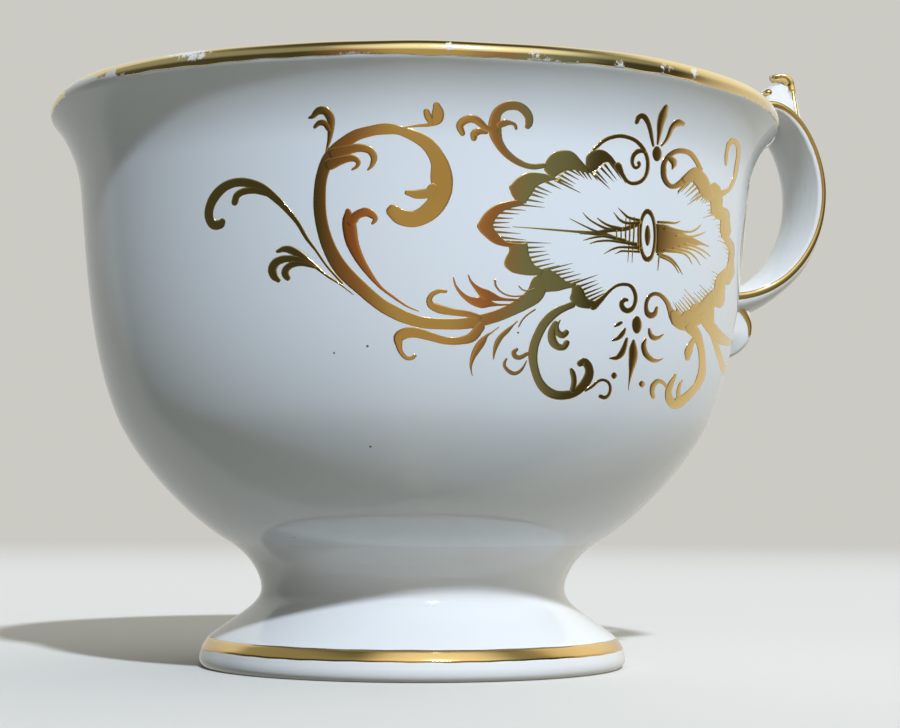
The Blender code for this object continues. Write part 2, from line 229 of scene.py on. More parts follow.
def beside(line: Array, distances: Array | float) -> Array:
    """Returns: a line moved to the left of its travel, by one distance or one for each point."""
    return line + leftward(headings(line)) * np.broadcast_to(distances, len(line))[:, None]


def run_along(line: Array) -> Array:
    """Returns: the length of a line from its start to each of its points."""
    return np.concatenate(([0.0], np.cumsum(np.linalg.norm(np.diff(line, axis=0), axis=1))))


def arc(centre: Sequence[float], radius: float, start: float, end: float, steps: int) -> Array:
    """Returns: the points of a round stretch from one angle to another, in degrees."""
    turn = np.radians(np.linspace(start, end, steps + 1))
    return np.array(centre) + radius * np.column_stack((np.cos(turn), np.sin(turn)))


def eased(values: Sequence[float], count: int) -> Array:
    """A smooth run of values through evenly spaced ones.

    Args:
        values: the values to pass through.
        count: length of the run.
    Returns: the run.
    """
    place = np.linspace(0.0, len(values) - 1.0, count)
    first = np.minimum(place.astype(int), len(values) - 2)
    known = np.array(values)
    return known[first] + (known[first + 1] - known[first]) * smooth(place - first)


def flowing(points: Points, step: float) -> Array:
    """A line that flows through given points, cut in even steps.

    Args:
        points: two columns of place, then any columns that flow along.
        step: length of a step.
    Returns: rows with the same columns.
    """
    known = np.array(points, float)
    if len(known) == 2:
        known = np.vstack((known[0], known.mean(axis=0), known[1]))
    padded = np.vstack((2 * known[0] - known[1], known, 2 * known[-1] - known[-2]))
    share = np.linspace(0.0, 1.0, FLOW_STEPS, endpoint=False)[:, None]
    rows = []
    for a, b, c, d in zip(padded, padded[1:], padded[2:], padded[3:]):
        bend = (2 * a - 5 * b + 4 * c - d) * share**2 + (3 * b - a - 3 * c + d) * share**3
        rows.append(b + ((c - a) * share + bend) / 2)
    rows.append(known[-1:])
    fine = np.vstack(rows)
    run = run_along(fine[:, :2])
    even = np.linspace(0.0, run[-1], max(int(run[-1] / step), 2) + 1)
    return np.column_stack([np.interp(even, run, column) for column in fine.T])


def grid_faces(rings: int, points: int, loop_along: bool) -> Faces:
    """Four-sided faces between closed rings of points.

    Args:
        rings: number of rings.
        points: points of each ring.
        loop_along: the last ring joins the first. Else both ends are closed by a face.
    Returns: the faces.
    """
    faces: Faces = []
    for ring in range(rings if loop_along else rings - 1):
        near = ring * points
        far = (ring + 1) % rings * points
        for point in range(points):
            beyond = (point + 1) % points
            faces.append((near + point, near + beyond, far + beyond, far + point))
    if not loop_along:
        last = (rings - 1) * points
        faces.append(tuple(range(points))[::-1])
        faces.append(tuple(range(last, last + points)))
    return faces


@dataclass
class Shape:
    """Corners and faces of a piece, with one painted value for each corner by name."""

    corners: list[Array] = field(default_factory=list)
    faces: Faces = field(default_factory=list)
    paint: dict[str, list[Array]] = field(default_factory=dict)
    count: int = 0

    def add(self, corners: Array, faces: Faces, **paint: Array | float) -> Shape:
        """Add a closed body.

        Args:
            corners: its corners.
            faces: its faces, counted from its own first corner.
            paint: painted values by name, one for each corner or one for all.
        Returns: the shape itself.
        """
        self.corners.append(np.asarray(corners, float))
        shift = self.count
        self.faces.extend(tuple(index + shift for index in face) for face in faces)
        for name, value in paint.items():
            self.paint.setdefault(name, []).append(np.broadcast_to(value, len(corners)))
        self.count += len(corners)
        return self

    def places(self) -> Array:
        """Returns: all corners."""
        return np.vstack(self.corners)

    def painted(self) -> dict[str, Array]:
        """Returns: all painted values by name."""
        return {name: np.concatenate(rows) for name, rows in self.paint.items()}


def swung(loop: Array, turn: float) -> Array:
    """Returns: points of radius and height, swung round the cup's axis by radians."""
    return np.column_stack((loop[:, 0] * math.cos(turn), loop[:, 0] * math.sin(turn), loop[:, 1]))


def turned(profile: Array, steps: int) -> Body:
    """Returns: a closed loop of radius and height turned into a ring."""
    turns = np.linspace(0.0, math.tau, steps, endpoint=False)
    return np.vstack([swung(profile, turn) for turn in turns]), grid_faces(steps, len(profile), True)


def lofted(line: Array, sections: Sequence[Array]) -> Body:
    """A closed body through sections that stand square to a line in the handle's plane.

    Args:
        line: radius and height along the handle.
        sections: closed loops of across and lift, one for each point of the line.
    Returns: corners and faces.
    """
    rings = []
    for place, out, section in zip(line, leftward(headings(line)), sections):
        spots = place + section[:, 1:] * out
        rings.append(np.column_stack((spots[:, 0], section[:, 0], spots[:, 1])))
    return np.vstack(rings), grid_faces(len(rings), len(sections[0]), False)


def wire(line: Array, across: Array | float, lift: Array | float, radii: Array | float) -> Body:
    """A round wire beside a line in the handle's plane.

    Args:
        line: radius and height along the handle.
        across: how far to the side it runs.
        lift: how far above the line it runs.
        radii: its radius.
    Returns: corners and faces.
    """
    turn = np.linspace(0.0, math.tau, WIRE_SIDES, endpoint=False)
    loop = np.column_stack((np.cos(turn), np.sin(turn)))
    rows = np.broadcast_arrays(across, lift, radii, np.empty(len(line)))[:3]
    return lofted(line, [radius * loop + (side, rise) for side, rise, radius in zip(*rows)])


@dataclass
class BowlWall:
    """The turned bowl: its outer line, its lip and the slight waver of its rim."""

    rim_radius: float = 48.0
    rim_height: float = 72.0
    lip_radius: float = 1.3
    lip_flare: float = -45.0
    lip_pull: float = 3.0
    waist: Knot = Knot(44.0, 61.5, 264.0, 3.2, 8.5)
    shoulder: Knot = Knot(38.8, 32.0, 246.5, 9.8, 6.6)
    seat: Knot = Knot(22.1, 15.0, 203.0, 6.6, 0.0)
    floor_thickness: float = 3.6
    well_radius: float = 12.0
    hub_radius: float = 0.4
    lip_inset: float = 0.05
    inset_ease: float = 1.8
    sway_from: float = 60.0
    sway_up: float = 0.16
    sways: Waves = (Wave(3, 1.0, 0.8), Wave(7, 0.7, 2.1), Wave(12, 0.4, 4.0))
    squeeze: float = 0.1
    squeezes: Waves = (Wave(5, 1.0, 1.0),)
    # Place and spread of each warp of the lip in degrees, and its lift
    warps: Points = ((-166.0, 36.0, 0.6), (-58.0, 34.0, 0.42), (-102.0, 12.0, -0.2))
    warp_from: float = 65.5
    warp_steepness: int = 4
    steps: int = 28
    lip_steps: int = 26
    well_steps: int = 8
    under_steps: int = 11
    turn_steps: int = 288
    outside: Array = field(init=False)

    def __post_init__(self) -> None:
        """Draw the outer line once."""
        lip = arc(self.lip_centre(), self.lip_radius, self.lip_flare, self.lip_flare, 1)[0]
        top = Knot(lip[0], lip[1], self.lip_flare - UPWARD, 0.0, self.lip_pull)
        self.outside = drawn_curve([top, self.waist, self.shoulder, self.seat], self.steps)

    def lip_centre(self) -> Pair:
        """Returns: radius and height of the middle of the rounded lip."""
        return self.rim_radius - self.lip_radius, self.rim_height - self.lip_radius

    def radius_at(self, height: Array | float) -> Array:
        """Returns: the outer radius at one height or many."""
        line = self.outside[::-1]
        return np.interp(height, line[:, 1], line[:, 0])

    def slope_at(self, height: Array) -> Array:
        """Returns: the growth of the outer radius for each millimetre of height."""
        line = self.outside[::-1]
        return np.interp(height, line[:, 1], np.gradient(line[:, 0], line[:, 1]))

    def wavered(self, corners: Array) -> Array:
        """The hand-finished rim's slight waver and the kiln's warp, fading out down the wall.

        Args:
            corners: places on or near the bowl.
        Returns: the moved places.
        """
        angle = np.arctan2(corners[:, 1], corners[:, 0])
        sway, warp = (
            smooth(np.clip((corners[:, 2] - start) / (self.rim_height - start), 0.0, 1.0))
            for start in (self.sway_from, self.warp_from)
        )
        moved = corners.copy()
        moved[:, 2] += self.sway_up * rippled(angle, self.sways) * sway
        for place, spread, lift in self.warps:
            off = degrees_off(np.degrees(angle), place) / spread
            moved[:, 2] += lift * np.exp(-(off**self.warp_steepness)) * warp
        shrink = (1.0 + rippled(angle, self.squeezes)) / 2
        moved[:, :2] *= (1.0 - self.squeeze * shrink * sway / self.rim_radius)[:, None]
        return moved

    def shape(self) -> Shape:
        """Returns: the bowl with its well, inner wall, lip and outer wall, and its share of painted
        light.
        """
        thickness = np.linspace(2 * self.lip_radius, self.floor_thickness, len(self.outside))
        inside = beside(self.outside, -thickness)
        floor = self.seat.height + self.floor_thickness
        inside = inside[(inside[:, 1] > floor) & (inside[:, 0] > self.well_radius)]
        centre = self.lip_centre()
        lip = arc(centre, self.lip_radius, self.lip_flare + INWARD, self.lip_flare, self.lip_steps)
        arch = np.sin(np.linspace(0.0, math.pi, len(lip)))[:, None]
        inset = np.minimum(arch * self.inset_ease, 1.0) * self.lip_inset / self.lip_radius
        lip = lip + (np.array(centre) - lip) * inset
        well = np.linspace((self.hub_radius, floor), (self.well_radius, floor), self.well_steps + 1)
        base = self.seat.height
        under = np.linspace((self.seat.across, base), (self.hub_radius, base), self.under_steps + 1)[1:]
        profile = np.vstack((well, inside[:0:-1], lip, self.outside[1:], under))
        corners, faces = turned(profile, self.turn_steps)
        points = len(profile)
        hub = len(corners)
        open_faces = [face for face in faces if face[0] % points != points - 1]
        for step in range(self.turn_steps):
            near = step * points
            far = (step + 1) % self.turn_steps * points
            open_faces.append((hub, near, far))
            open_faces.append((hub + 1, far + points - 1, near + points - 1))
        corners = np.vstack((corners, (0.0, 0.0, floor), (0.0, 0.0, base)))
        # Painted light: the inside gets no share, the lip a rising share, the outer wall and underside a
        # full share of lighter, bluer painted light
        within = np.zeros(len(well) + len(inside) - 1)
        without = np.ones(len(self.outside) - 1 + len(under))
        glaze = np.concatenate((within, np.linspace(0.0, 1.0, len(lip)), without))
        pooled = np.concatenate((np.tile(glaze, self.turn_steps), (0.0, 1.0)))
        return Shape().add(self.wavered(corners), open_faces, pooled=pooled)


@dataclass
class PedestalFoot:
    """The hollow foot that the bowl is luted on, and the slip bead between them."""

    neck: Knot = Knot(21.7, 14.1, 233.0, 0.0, 1.25)
    stem: Knot = Knot(19.9, 10.0, DOWNWARD, 1.6, 2.2)
    band_top: Knot = Knot(26.6, 3.8, 321.0, 4.1, 0.0)
    band_foot: Pair = (27.5, 2.4)
    flange: Pair = (27.8, 1.3)
    base_round: float = 1.0
    ring_start: float = 1.0
    ring_width: float = 3.4
    # The ring's inner edge, counted from where the ring ends
    ring_edge: Points = ((0.8, 0.0), (0.2, 0.06), (-0.1, 0.3))
    hollow_step: float = 1.2
    wall: float = 4.6
    bore_radius: float = 14.2
    bare_height: float = 0.25
    bead_top: float = 15.9
    bead_foot: float = 13.2
    bead_pulls: Pair = (1.4, 1.2)
    bead_inset: float = 0.015
    bead_bore: float = 0.2
    bead_overlap: float = 0.05
    steps: int = 20
    band_steps: int = 5
    side_steps: int = 3
    round_steps: int = 8
    bead_line_steps: int = 60
    bead_steps: int = 14
    turn_steps: int = 256

    def shape(self) -> Shape:
        """Returns: the foot, with its unglazed standing ring painted bare."""
        outside = drawn_curve([self.neck, self.stem, self.band_top], self.steps)
        band = np.linspace(outside[-1], self.band_foot, self.band_steps + 1)[1:]
        side = np.linspace(self.band_foot, self.flange, self.side_steps + 1)[1:]
        middle = (self.flange[0] - self.base_round, self.base_round)
        base = arc(middle, self.base_round, OUTWARD, -UPWARD, self.round_steps)[1:]
        inner = middle[0] - self.ring_width
        ring = np.vstack(((middle[0] - self.ring_start, 0.0), np.array(self.ring_edge) + (inner, 0.0)))
        step = (inner - self.hollow_step, self.hollow_step)
        hollow = beside(outside, -self.wall)
        keep = (hollow[:, 1] > self.hollow_step) & (hollow[:, 1] < self.neck.height)
        keep &= (hollow[:, 0] > self.bore_radius) & (hollow[:, 0] < step[0])
        mouth = (self.bore_radius, self.neck.height)
        profile = np.vstack((outside, band, side, base, ring, step, hollow[keep][::-1], mouth))
        corners, faces = turned(profile, self.turn_steps)
        bare = np.clip(1.0 - corners[:, 2] / self.bare_height, 0.0, 1.0)
        return Shape().add(corners, faces, bare=bare)

    def slip_bead(self, wall: BowlWall) -> Shape:
        """The fired slip between bowl and foot, smoothed into their corner.

        Args:
            wall: the bowl that sits on the foot.
        Returns: the bead.
        """
        line = drawn_curve([self.neck, self.stem], self.bead_line_steps)
        ends = []
        heights = (self.bead_top, self.bead_foot)
        for run, height, pull in zip((wall.outside, line), heights, self.bead_pulls):
            nearest = int(np.argmin(np.abs(run[:, 1] - height)))
            ends.append(Knot(*run[nearest], heading_at(run, nearest), pull, pull))
        face = drawn_curve(ends, self.bead_steps) - (self.bead_inset, 0.0)
        inner = self.bore_radius + self.bead_bore
        low = (inner, self.neck.height - self.bead_overlap)
        high = (inner, wall.seat.height + self.bead_overlap)
        return Shape().add(*turned(np.vstack((face, low, high)), self.turn_steps))


@dataclass
class RibbonHandle:
    """The handle: a ribbon over the rim, a curled thumb spur and a tail scroll on the wall."""

    wall: BowlWall
    root: Knot = Knot(0.0, 69.5, 10.0, 0.0, 7.0)
    crest: Knot = Knot(49.3, 75.6, OUTWARD, 1.2, 3.3)
    grip: Knot = Knot(55.9, 64.4, DOWNWARD, 5.3, 8.8)
    footing: Knot = Knot(0.0, 50.1, INWARD, 7.0, 0.0)
    sink: float = 1.0
    widths: Row = (9.2, 11.2, 12.0, 10.4)
    crowns: Row = (1.8, 1.95, 1.3, 0.45, 0.55, 1.5, 2.6)
    bellies: Row = (0.0, 0.8, 1.75, 1.8, 0.6)
    edge: float = 1.0
    steps: int = 40
    crown_points: int = 24
    finger_points: int = 12
    voxel: float = 0.16
    smoothings: int = 5

    # The gilt line on each edge: its bed, its depths and its section
    gilt_bed: float = 0.12
    gilt_rise: float = 0.1
    gilt_depths: Row = (0.75, 1.0, 0.85, 0.62, 0.62, 0.85, 0.95)
    gilt_bar: Points = (
        (-0.5, -1.0), (-0.1, -1.03), (0.0, -0.86), (0.04, -0.5), (0.0, -0.14), (-0.12, 0.02), (-0.5, 0.1),
    )
    gilt_tone: GoldTone = GoldTone(0.15, 0.08)

    # The slip at each end
    collar_reach: float = 3.4
    collar_bed: float = 0.1
    flare: float = 0.42
    flare_reach: float = 2.6

    # The spur from its curled tip to its seat on the ribbon
    spur_reach: float = 54.2
    spur_rise: float = 80.25
    spur_lean: float = 0.7
    spur_curl: Pair = (2.3, 0.85)
    spur_heading: float = 16.0
    spur_fall: float = 280.0
    spur_pulls: Row = (1.0, 1.1, 3.0)
    spur_seat: float = 0.5
    spur_belly: float = 0.6
    spur_widths: Row = (1.4, 2.6, 6.4)
    spur_depths: Row = (0.45, 0.85, 1.8)
    spur_steps: int = 24
    spur_gilt: float = 0.62
    spur_film: float = 0.04
    spur_tone: GoldTone = GoldTone(0.1, 0.1)
    spur_line_radius: float = 0.35
    spur_line_inset: float = 0.22
    spur_line_level: float = 0.3
    spur_line_overlap: int = 2
    spur_line_tone: GoldTone = GoldTone(0.1, 0.05)

    # The web under the spur: radius, height and its two half widths. The bud has a radius.
    web: Points = (
        (51.6, 75.2, 3.2, 2.9), (51.8, 77.2, 2.8, 2.5), (52.05, 78.4, 2.2, 2.05),
        (52.65, 79.3, 1.5, 1.25), (53.2, 80.0, 1.0, 0.6),
    )
    web_roundness: float = 0.55
    web_step: float = 0.3
    bud: Points = (
        (48.3, 78.05, 0.12), (49.0, 78.3, 0.16), (49.6, 78.5, 0.26), (50.0, 78.6, 0.48),
        (50.4, 78.65, 0.52), (50.75, 78.65, 0.3),
    )
    bud_across: float = -1.9
    bud_step: float = 0.12
    bud_tone: GoldTone = GoldTone(0.1, 0.0)

    # The tail scroll and the gilt line on each of its edges
    tail_length: float = 8.0
    tail_widths: Row = (7.8, 7.8, 4.0)
    tail_swells: Row = (5.1, 5.1, 1.6)
    tail_edge: float = 0.8
    tail_sink: float = 1.2
    tail_pull: float = 1.6
    tail_headings: Row = (275.0, DOWNWARD, 226.0)
    tail_steps: int = 20
    tail_gilt: Points = (
        (42.9, 48.7), (44.5, 48.25), (45.35, 47.6), (46.0, 46.65), (46.35, 45.6), (46.35, 44.3),
    )
    tail_gilt_step: float = 0.25
    tail_gilt_radius: float = 0.46
    tail_gilt_inset: float = 0.12
    tail_taper: Pair = (0.15, 0.93)
    tail_tone: GoldTone = GoldTone(0.2, 0.05)

    def line(self) -> Array:
        """Returns: the finger side of the ribbon, from the lip round to the wall."""
        root_radius = float(self.wall.radius_at(self.root.height)) - self.sink
        foot_radius = float(self.wall.radius_at(self.footing.height))
        root = Knot(root_radius, self.root.height, self.root.heading, 0.0, self.root.pull_out)
        foot = Knot(foot_radius, self.footing.height, INWARD, self.footing.pull_in, 0.0)
        line = drawn_curve([root, self.crest, self.grip, foot], self.steps)
        return np.vstack((line, (foot_radius - self.sink, self.footing.height)))

    def section(self, width: float, edge: float, crown: float, belly: float = 0.0) -> Array:
        """Section of a ribbon: a rounded finger side, square edges, a rounded crown.

        Args:
            width: from edge to edge.
            edge: thickness of the edges.
            crown: rise of the crown above them.
            belly: swell of the finger side below them.
        Returns: a closed loop of across and lift.
        """
        half = width / 2
        across = np.linspace(half, -half, self.finger_points + 1)
        depth = belly * ((across / half) ** 2 - 1)
        turn = np.linspace(0.0, math.pi, self.crown_points + 1)
        over = np.column_stack((-half * np.cos(turn), edge + crown * np.sin(turn)))
        return np.vstack((np.column_stack((across, depth)), over))

    def measures(self, count: int) -> list[Array]:
        """Returns: the ribbon's width, crown and belly at each point of its line."""
        return [eased(values, count) for values in (self.widths, self.crowns, self.bellies)]

    def ribbon(self) -> Body:
        """Returns: corners and faces of the main ribbon, narrowed for the gilding on its edges."""
        line = self.line()
        rows = zip(*self.measures(len(line)))
        return lofted(line, [self.section(w - 2 * self.gilt_bed, self.edge, c, b) for w, c, b in rows])

    def spur_line(self) -> Array:
        """Returns: the spur's line from its curled tip down into the ribbon."""
        line = self.line()[self.steps:2 * self.steps + 1]
        nearest = int(np.argmin(np.abs(line[:, 0] - self.spur_reach)))
        tip_pull, bend_pull, base_pull = self.spur_pulls
        base = Knot(*beside(line, self.spur_seat)[nearest], heading_at(line, nearest), base_pull, 0.0)
        across = base.across - self.spur_lean
        bend = Knot(across, self.spur_rise, self.spur_fall, bend_pull, bend_pull)
        spot = (across - self.spur_curl[0], self.spur_rise + self.spur_curl[1])
        tip = Knot(*spot, self.spur_heading, 0.0, tip_pull)
        return drawn_curve([tip, bend, base], self.spur_steps)

    def spur(self, swell: float, share: float) -> Body:
        """The thumb spur or the gilding that wraps its upper part.

        Args:
            swell: how far outside the spur's own skin.
            share: share of the spur's line that is wrapped, from the tip.
        Returns: corners and faces.
        """
        line = self.spur_line()
        widths = eased(self.spur_widths, len(line)) + 2 * swell
        halves = eased(self.spur_depths, len(line)) / 2 + swell
        sections = [self.section(w, h, h, self.spur_belly) - (0.0, swell) for w, h in zip(widths, halves)]
        kept = int(len(line) * share)
        return lofted(line[:kept], sections[:kept])

    def spur_web(self) -> Body:
        """Returns: corners and faces of the web that carries the spur on the crown."""
        web = flowing(self.web, self.web_step)
        turn = np.linspace(0.0, math.tau, 2 * self.crown_points, endpoint=False)
        loop = np.column_stack((np.cos(turn), np.sin(turn)))
        loop = np.sign(loop) * np.abs(loop) ** self.web_roundness
        return lofted(web[:, :2], [loop * halves for halves in web[:, 2:]])

    def tail(self) -> Body:
        """Returns: corners and faces of the tail scroll."""
        top = self.footing.height - self.edge
        heights = np.array((top, top - self.tail_length / 2, top - self.tail_length))
        places = self.wall.radius_at(heights) - (self.tail_sink, 0.0, self.tail_sink)
        rows = zip(places, heights, self.tail_headings)
        line = drawn_curve([Knot(*row, self.tail_pull, self.tail_pull) for row in rows], self.tail_steps)
        crown = 1.0 - self.tail_edge
        rows = zip(eased(self.tail_widths, len(line)), eased(self.tail_swells, len(line)))
        return lofted(line, [self.section(w, s * self.tail_edge, s * crown) for w, s in rows])

    def shape(self) -> Shape:
        """Returns: ribbon, spur and tail as one casting with softened corners."""
        blank = Shape()
        for body in (self.ribbon(), self.spur(0.0, 1.0), self.spur_web(), self.tail()):
            blank.add(*body)
        return softened(blank, self.voxel, self.smoothings)

    def collar(self, at_root: bool) -> Shape:
        """The fired slip round one end of the ribbon, flaring on to the wall.

        Args:
            at_root: the upper end, else the lower.
        Returns: the collar.
        """
        line = self.line()
        run = run_along(line)
        reach = run if at_root else run[-1] - run
        keep = reach < self.collar_reach
        sections = []
        rows = (row[keep] for row in self.measures(len(line)))
        for away, width, crown, belly in zip(reach[keep], *rows):
            flare = self.flare * max(1.0 - away / self.flare_reach, 0.0) ** 2 - self.collar_bed
            section = self.section(width - 2 * self.collar_bed, self.edge, crown, belly)
            grow = (1 + 2 * flare / width, 1 + 2 * flare / (self.edge + crown))
            sections.append(section * grow - (0.0, flare))
        return Shape().add(*lofted(line[keep], sections))

    def gilt_edge(self, side: Side) -> Shape:
        """The gilding along one edge of the ribbon.

        Args:
            side: which edge.
        Returns: a rounded bar let into the edge.
        """
        line = self.line()[2:-1]
        rows = zip(eased(self.widths, len(line)) / 2, eased(self.gilt_depths, len(line)))
        top = self.edge + self.gilt_rise
        out, level = np.array(self.gilt_bar).T
        sections = [np.column_stack((side.value * (out + h), top + level * d)) for h, d in rows]
        return Shape().add(*lofted(line, sections), **self.gilt_tone.paint())

    def gilt_trim(self) -> Shape:
        """Returns: the gilding of the spur, the tail's two edges and the bud on the crown."""
        trim = Shape()
        trim.add(*self.spur(self.spur_film, self.spur_gilt), **self.spur_tone.paint())
        stalk = self.spur_line()
        count = len(stalk)
        overlap = self.spur_line_overlap
        below = slice(int(count * self.spur_gilt) - overlap, count - overlap)
        spread = eased(self.spur_widths, count)[below] / 2 - self.spur_line_inset
        level = eased(self.spur_depths, count)[below] * self.spur_line_level
        for side in Side:
            body = wire(stalk[below], side.value * spread, level, self.spur_line_radius)
            trim.add(*body, **self.spur_line_tone.paint())
        tail = flowing(self.tail_gilt, self.tail_gilt_step)
        taper = np.sqrt(np.sin(math.pi * np.linspace(*self.tail_taper, len(tail))))
        across = self.tail_widths[0] / 2 - self.tail_gilt_inset
        for side in Side:
            body = wire(tail, side.value * across, 0.0, self.tail_gilt_radius * taper)
            trim.add(*body, **self.tail_tone.paint())
        bud = flowing(self.bud, self.bud_step)
        trim.add(*wire(bud[:, :2], self.bud_across, 0.0, bud[:, 2]), **self.bud_tone.paint())
        return trim


def evaluated(piece: bpy.types.Object) -> bpy.types.Mesh:
    """Returns: the plain mesh that a piece's modifiers give."""
    graph = bpy.context.evaluated_depsgraph_get()
    return bpy.data.meshes.new_from_object(piece.evaluated_get(graph))


def mesh_arrays(mesh: bpy.types.Mesh) -> Body:
    """Corners and faces of a mesh.

    Args:
        mesh: a plain mesh.
    Returns: corners and faces.
    """
    corners = np.zeros(len(mesh.vertices) * 3)
    mesh.vertices.foreach_get("co", corners)
    return corners.reshape(-1, 3), [tuple(face.vertices) for face in mesh.polygons]


def new_piece(name: str, corners: Array, faces: Faces) -> bpy.types.Object:
    """A piece with its faces turned outwards.

    Args:
        name: its name.
        corners: its corners.
        faces: its faces.
    Returns: the piece.
    """
    mesh = bpy.data.meshes.new(name)
    mesh.from_pydata(corners.tolist(), [], faces)
    shape = bmesh.new()
    shape.from_mesh(mesh)
    bmesh.ops.recalc_face_normals(shape, faces=shape.faces)
    shape.to_mesh(mesh)
    shape.free()
    piece = bpy.data.objects.new(name, mesh)
    bpy.context.scene.collection.objects.link(piece)
    return piece


def softened(blank: Shape, voxel: float, smoothings: int) -> Shape:
    """Crossing bodies made one, with their corners and hollows softened like glaze does.

    Args:
        blank: closed bodies.
        voxel: fineness of the joined skin.
        smoothings: rounds of softening.
    Returns: one closed body.
    """
    piece = new_piece("blank", blank.places(), blank.faces)
    remesh = piece.modifiers.new("join", "REMESH")
    remesh.mode = "VOXEL"
    remesh.voxel_size = voxel
    soften = piece.modifiers.new("soften", "SMOOTH")
    soften.factor = SOFTENING
    soften.iterations = smoothings
    mesh = evaluated(piece)
    bpy.data.objects.remove(piece)
    return Shape().add(*mesh_arrays(mesh))


@dataclass
class RimGilding:
    """The worn gilding over the lip. Its worn places are counted from the side that faces the eye."""

    wall: BowlWall
    facing: float
    outer_angle: float = -30.0
    inner_angle: float = 116.0
    film: float = 0.015
    sunk: float = 0.12
    ragged: float = 3.5
    rags: Waves = (Wave(9, 1.0, 0.4), Wave(23, 0.7, 1.9), Wave(57, 0.5, 0.0))
    slant: float = 12.0
    face_steps: int = 16
    back_steps: int = 6
    turn_steps: int = 720
    copper: float = 0.1
    thin: float = 0.35
    wear: float = 0.1
    edge_wear: float = 0.26
    edge_reach: float = 9.0
    worn_reach: float = 40.0
    # Worn places: angle from the side that faces the eye, spread, strength, angle on the lip
    worn: Points = (
        (-60.0, 10.0, 0.5, 10.0), (-48.5, 1.5, 0.4, -10.0), (-52.0, 8.0, 0.28, -25.0),
        (-35.0, 5.0, 0.42, 70.0), (-31.5, 4.0, 0.36, 25.0), (-8.0, 3.5, 0.26, -28.0),
        (4.4, 1.3, 0.5, 25.0), (16.0, 1.2, 0.34, 0.0), (19.5, 3.5, 0.3, -28.0),
        (28.5, 1.5, 0.4, -10.0), (37.0, 2.5, 0.36, 10.0), (42.5, 1.2, 0.5, 10.0),
        (60.0, 9.0, 0.25, -30.0), (72.0, 7.0, 0.42, 0.0), (96.0, 4.0, 0.4, 60.0),
        (141.0, 3.0, 0.45, 10.0), (168.0, 6.0, 0.35, 60.0), (-96.0, 5.0, 0.4, 15.0),
        (-131.0, 3.0, 0.45, 60.0),
    )

    def worn_at(self, side: float, around: Array) -> Array:
        """How worn the gilding is across the lip at one place round it.

        Args:
            side: degrees from the side that faces the eye.
            around: angles on the lip, from its outer edge.
        Returns: the wear at each angle.
        """
        amount = self.wear + self.edge_wear * np.exp(-(((around - around[0]) / self.edge_reach) ** 2))
        for place, spread, strength, at in self.worn:
            near = strength * math.exp(-(((side - place) / spread) ** 2))
            amount = amount + near * np.exp(-(((around - at) / self.worn_reach) ** 2))
        return amount

    def shape(self) -> Shape:
        """Returns: the gilding, a closed ring with its worn places painted in."""
        angle = math.tau * np.arange(self.turn_steps) / self.turn_steps
        slant = self.slant * np.sin(angle - math.radians(self.facing))
        lowers = self.outer_angle + self.ragged * rippled(angle, self.rags) - slant
        centre = self.wall.lip_centre()
        face_radius = self.wall.lip_radius - self.film
        back_radius = self.wall.lip_radius - self.sunk
        rings = []
        wear = []
        for turn, lower in zip(angle, lowers):
            face = arc(centre, face_radius, lower, self.inner_angle, self.face_steps)
            back = arc(centre, back_radius, self.inner_angle, lower, self.back_steps)
            rings.append(swung(np.vstack((face, back)), turn))
            around = np.linspace(lower, self.inner_angle, len(face))
            side = degrees_off(math.degrees(turn), self.facing)
            wear.append(np.concatenate((self.worn_at(side, around), np.zeros(len(back)))))
        body = (self.wall.wavered(np.vstack(rings)), grid_faces(len(rings), len(rings[0]), True))
        return Shape().add(*body, wear=np.concatenate(wear), copper=self.copper, thin=self.thin)


@dataclass
class FootGilding:
    """The gilt band on the flange of the foot."""

    foot: PedestalFoot
    film: float = 0.03
    sunk: float = 0.1
    bulge: float = 0.05
    bulge_power: int = 4
    top_rags: Waves = (Wave(11, 0.02, 0.0), Wave(29, 0.015, 1.0))
    low_rags: Waves = (Wave(8, 0.025, 2.0), Wave(37, 0.02, 0.0))
    wear: float = 0.12
    edge_wear: float = 0.2
    edge_power: int = 3
    copper: float = 0.28
    face_steps: int = 6
    turn_steps: int = 512

    def shape(self) -> Shape:
        """Returns: the band, a closed ring with slightly uneven edges."""
        top = self.foot.band_top.place()
        low = np.array(self.foot.band_foot)
        down = (low - top) / np.linalg.norm(low - top)
        out = np.array((-down[1], down[0]))
        share = np.linspace(-1.0, 1.0, self.face_steps + 1)
        proud = (self.film + self.bulge * (1.0 - share**self.bulge_power))[:, None] * out
        rings = []
        for turn in math.tau * np.arange(self.turn_steps) / self.turn_steps:
            upper = top + down * rippled(turn, self.top_rags)
            lower = low + down * rippled(turn, self.low_rags)
            face = np.linspace(upper, lower, len(share))
            rings.append(swung(np.vstack((face + proud, (lower, upper) - out * self.sunk)), turn))
        wear = np.append(self.wear + self.edge_wear * np.abs(share) ** self.edge_power, (0.0, 0.0))
        body = (np.vstack(rings), grid_faces(len(rings), len(rings[0]), True))
        return Shape().add(*body, wear=np.tile(wear, len(rings)), copper=self.copper)


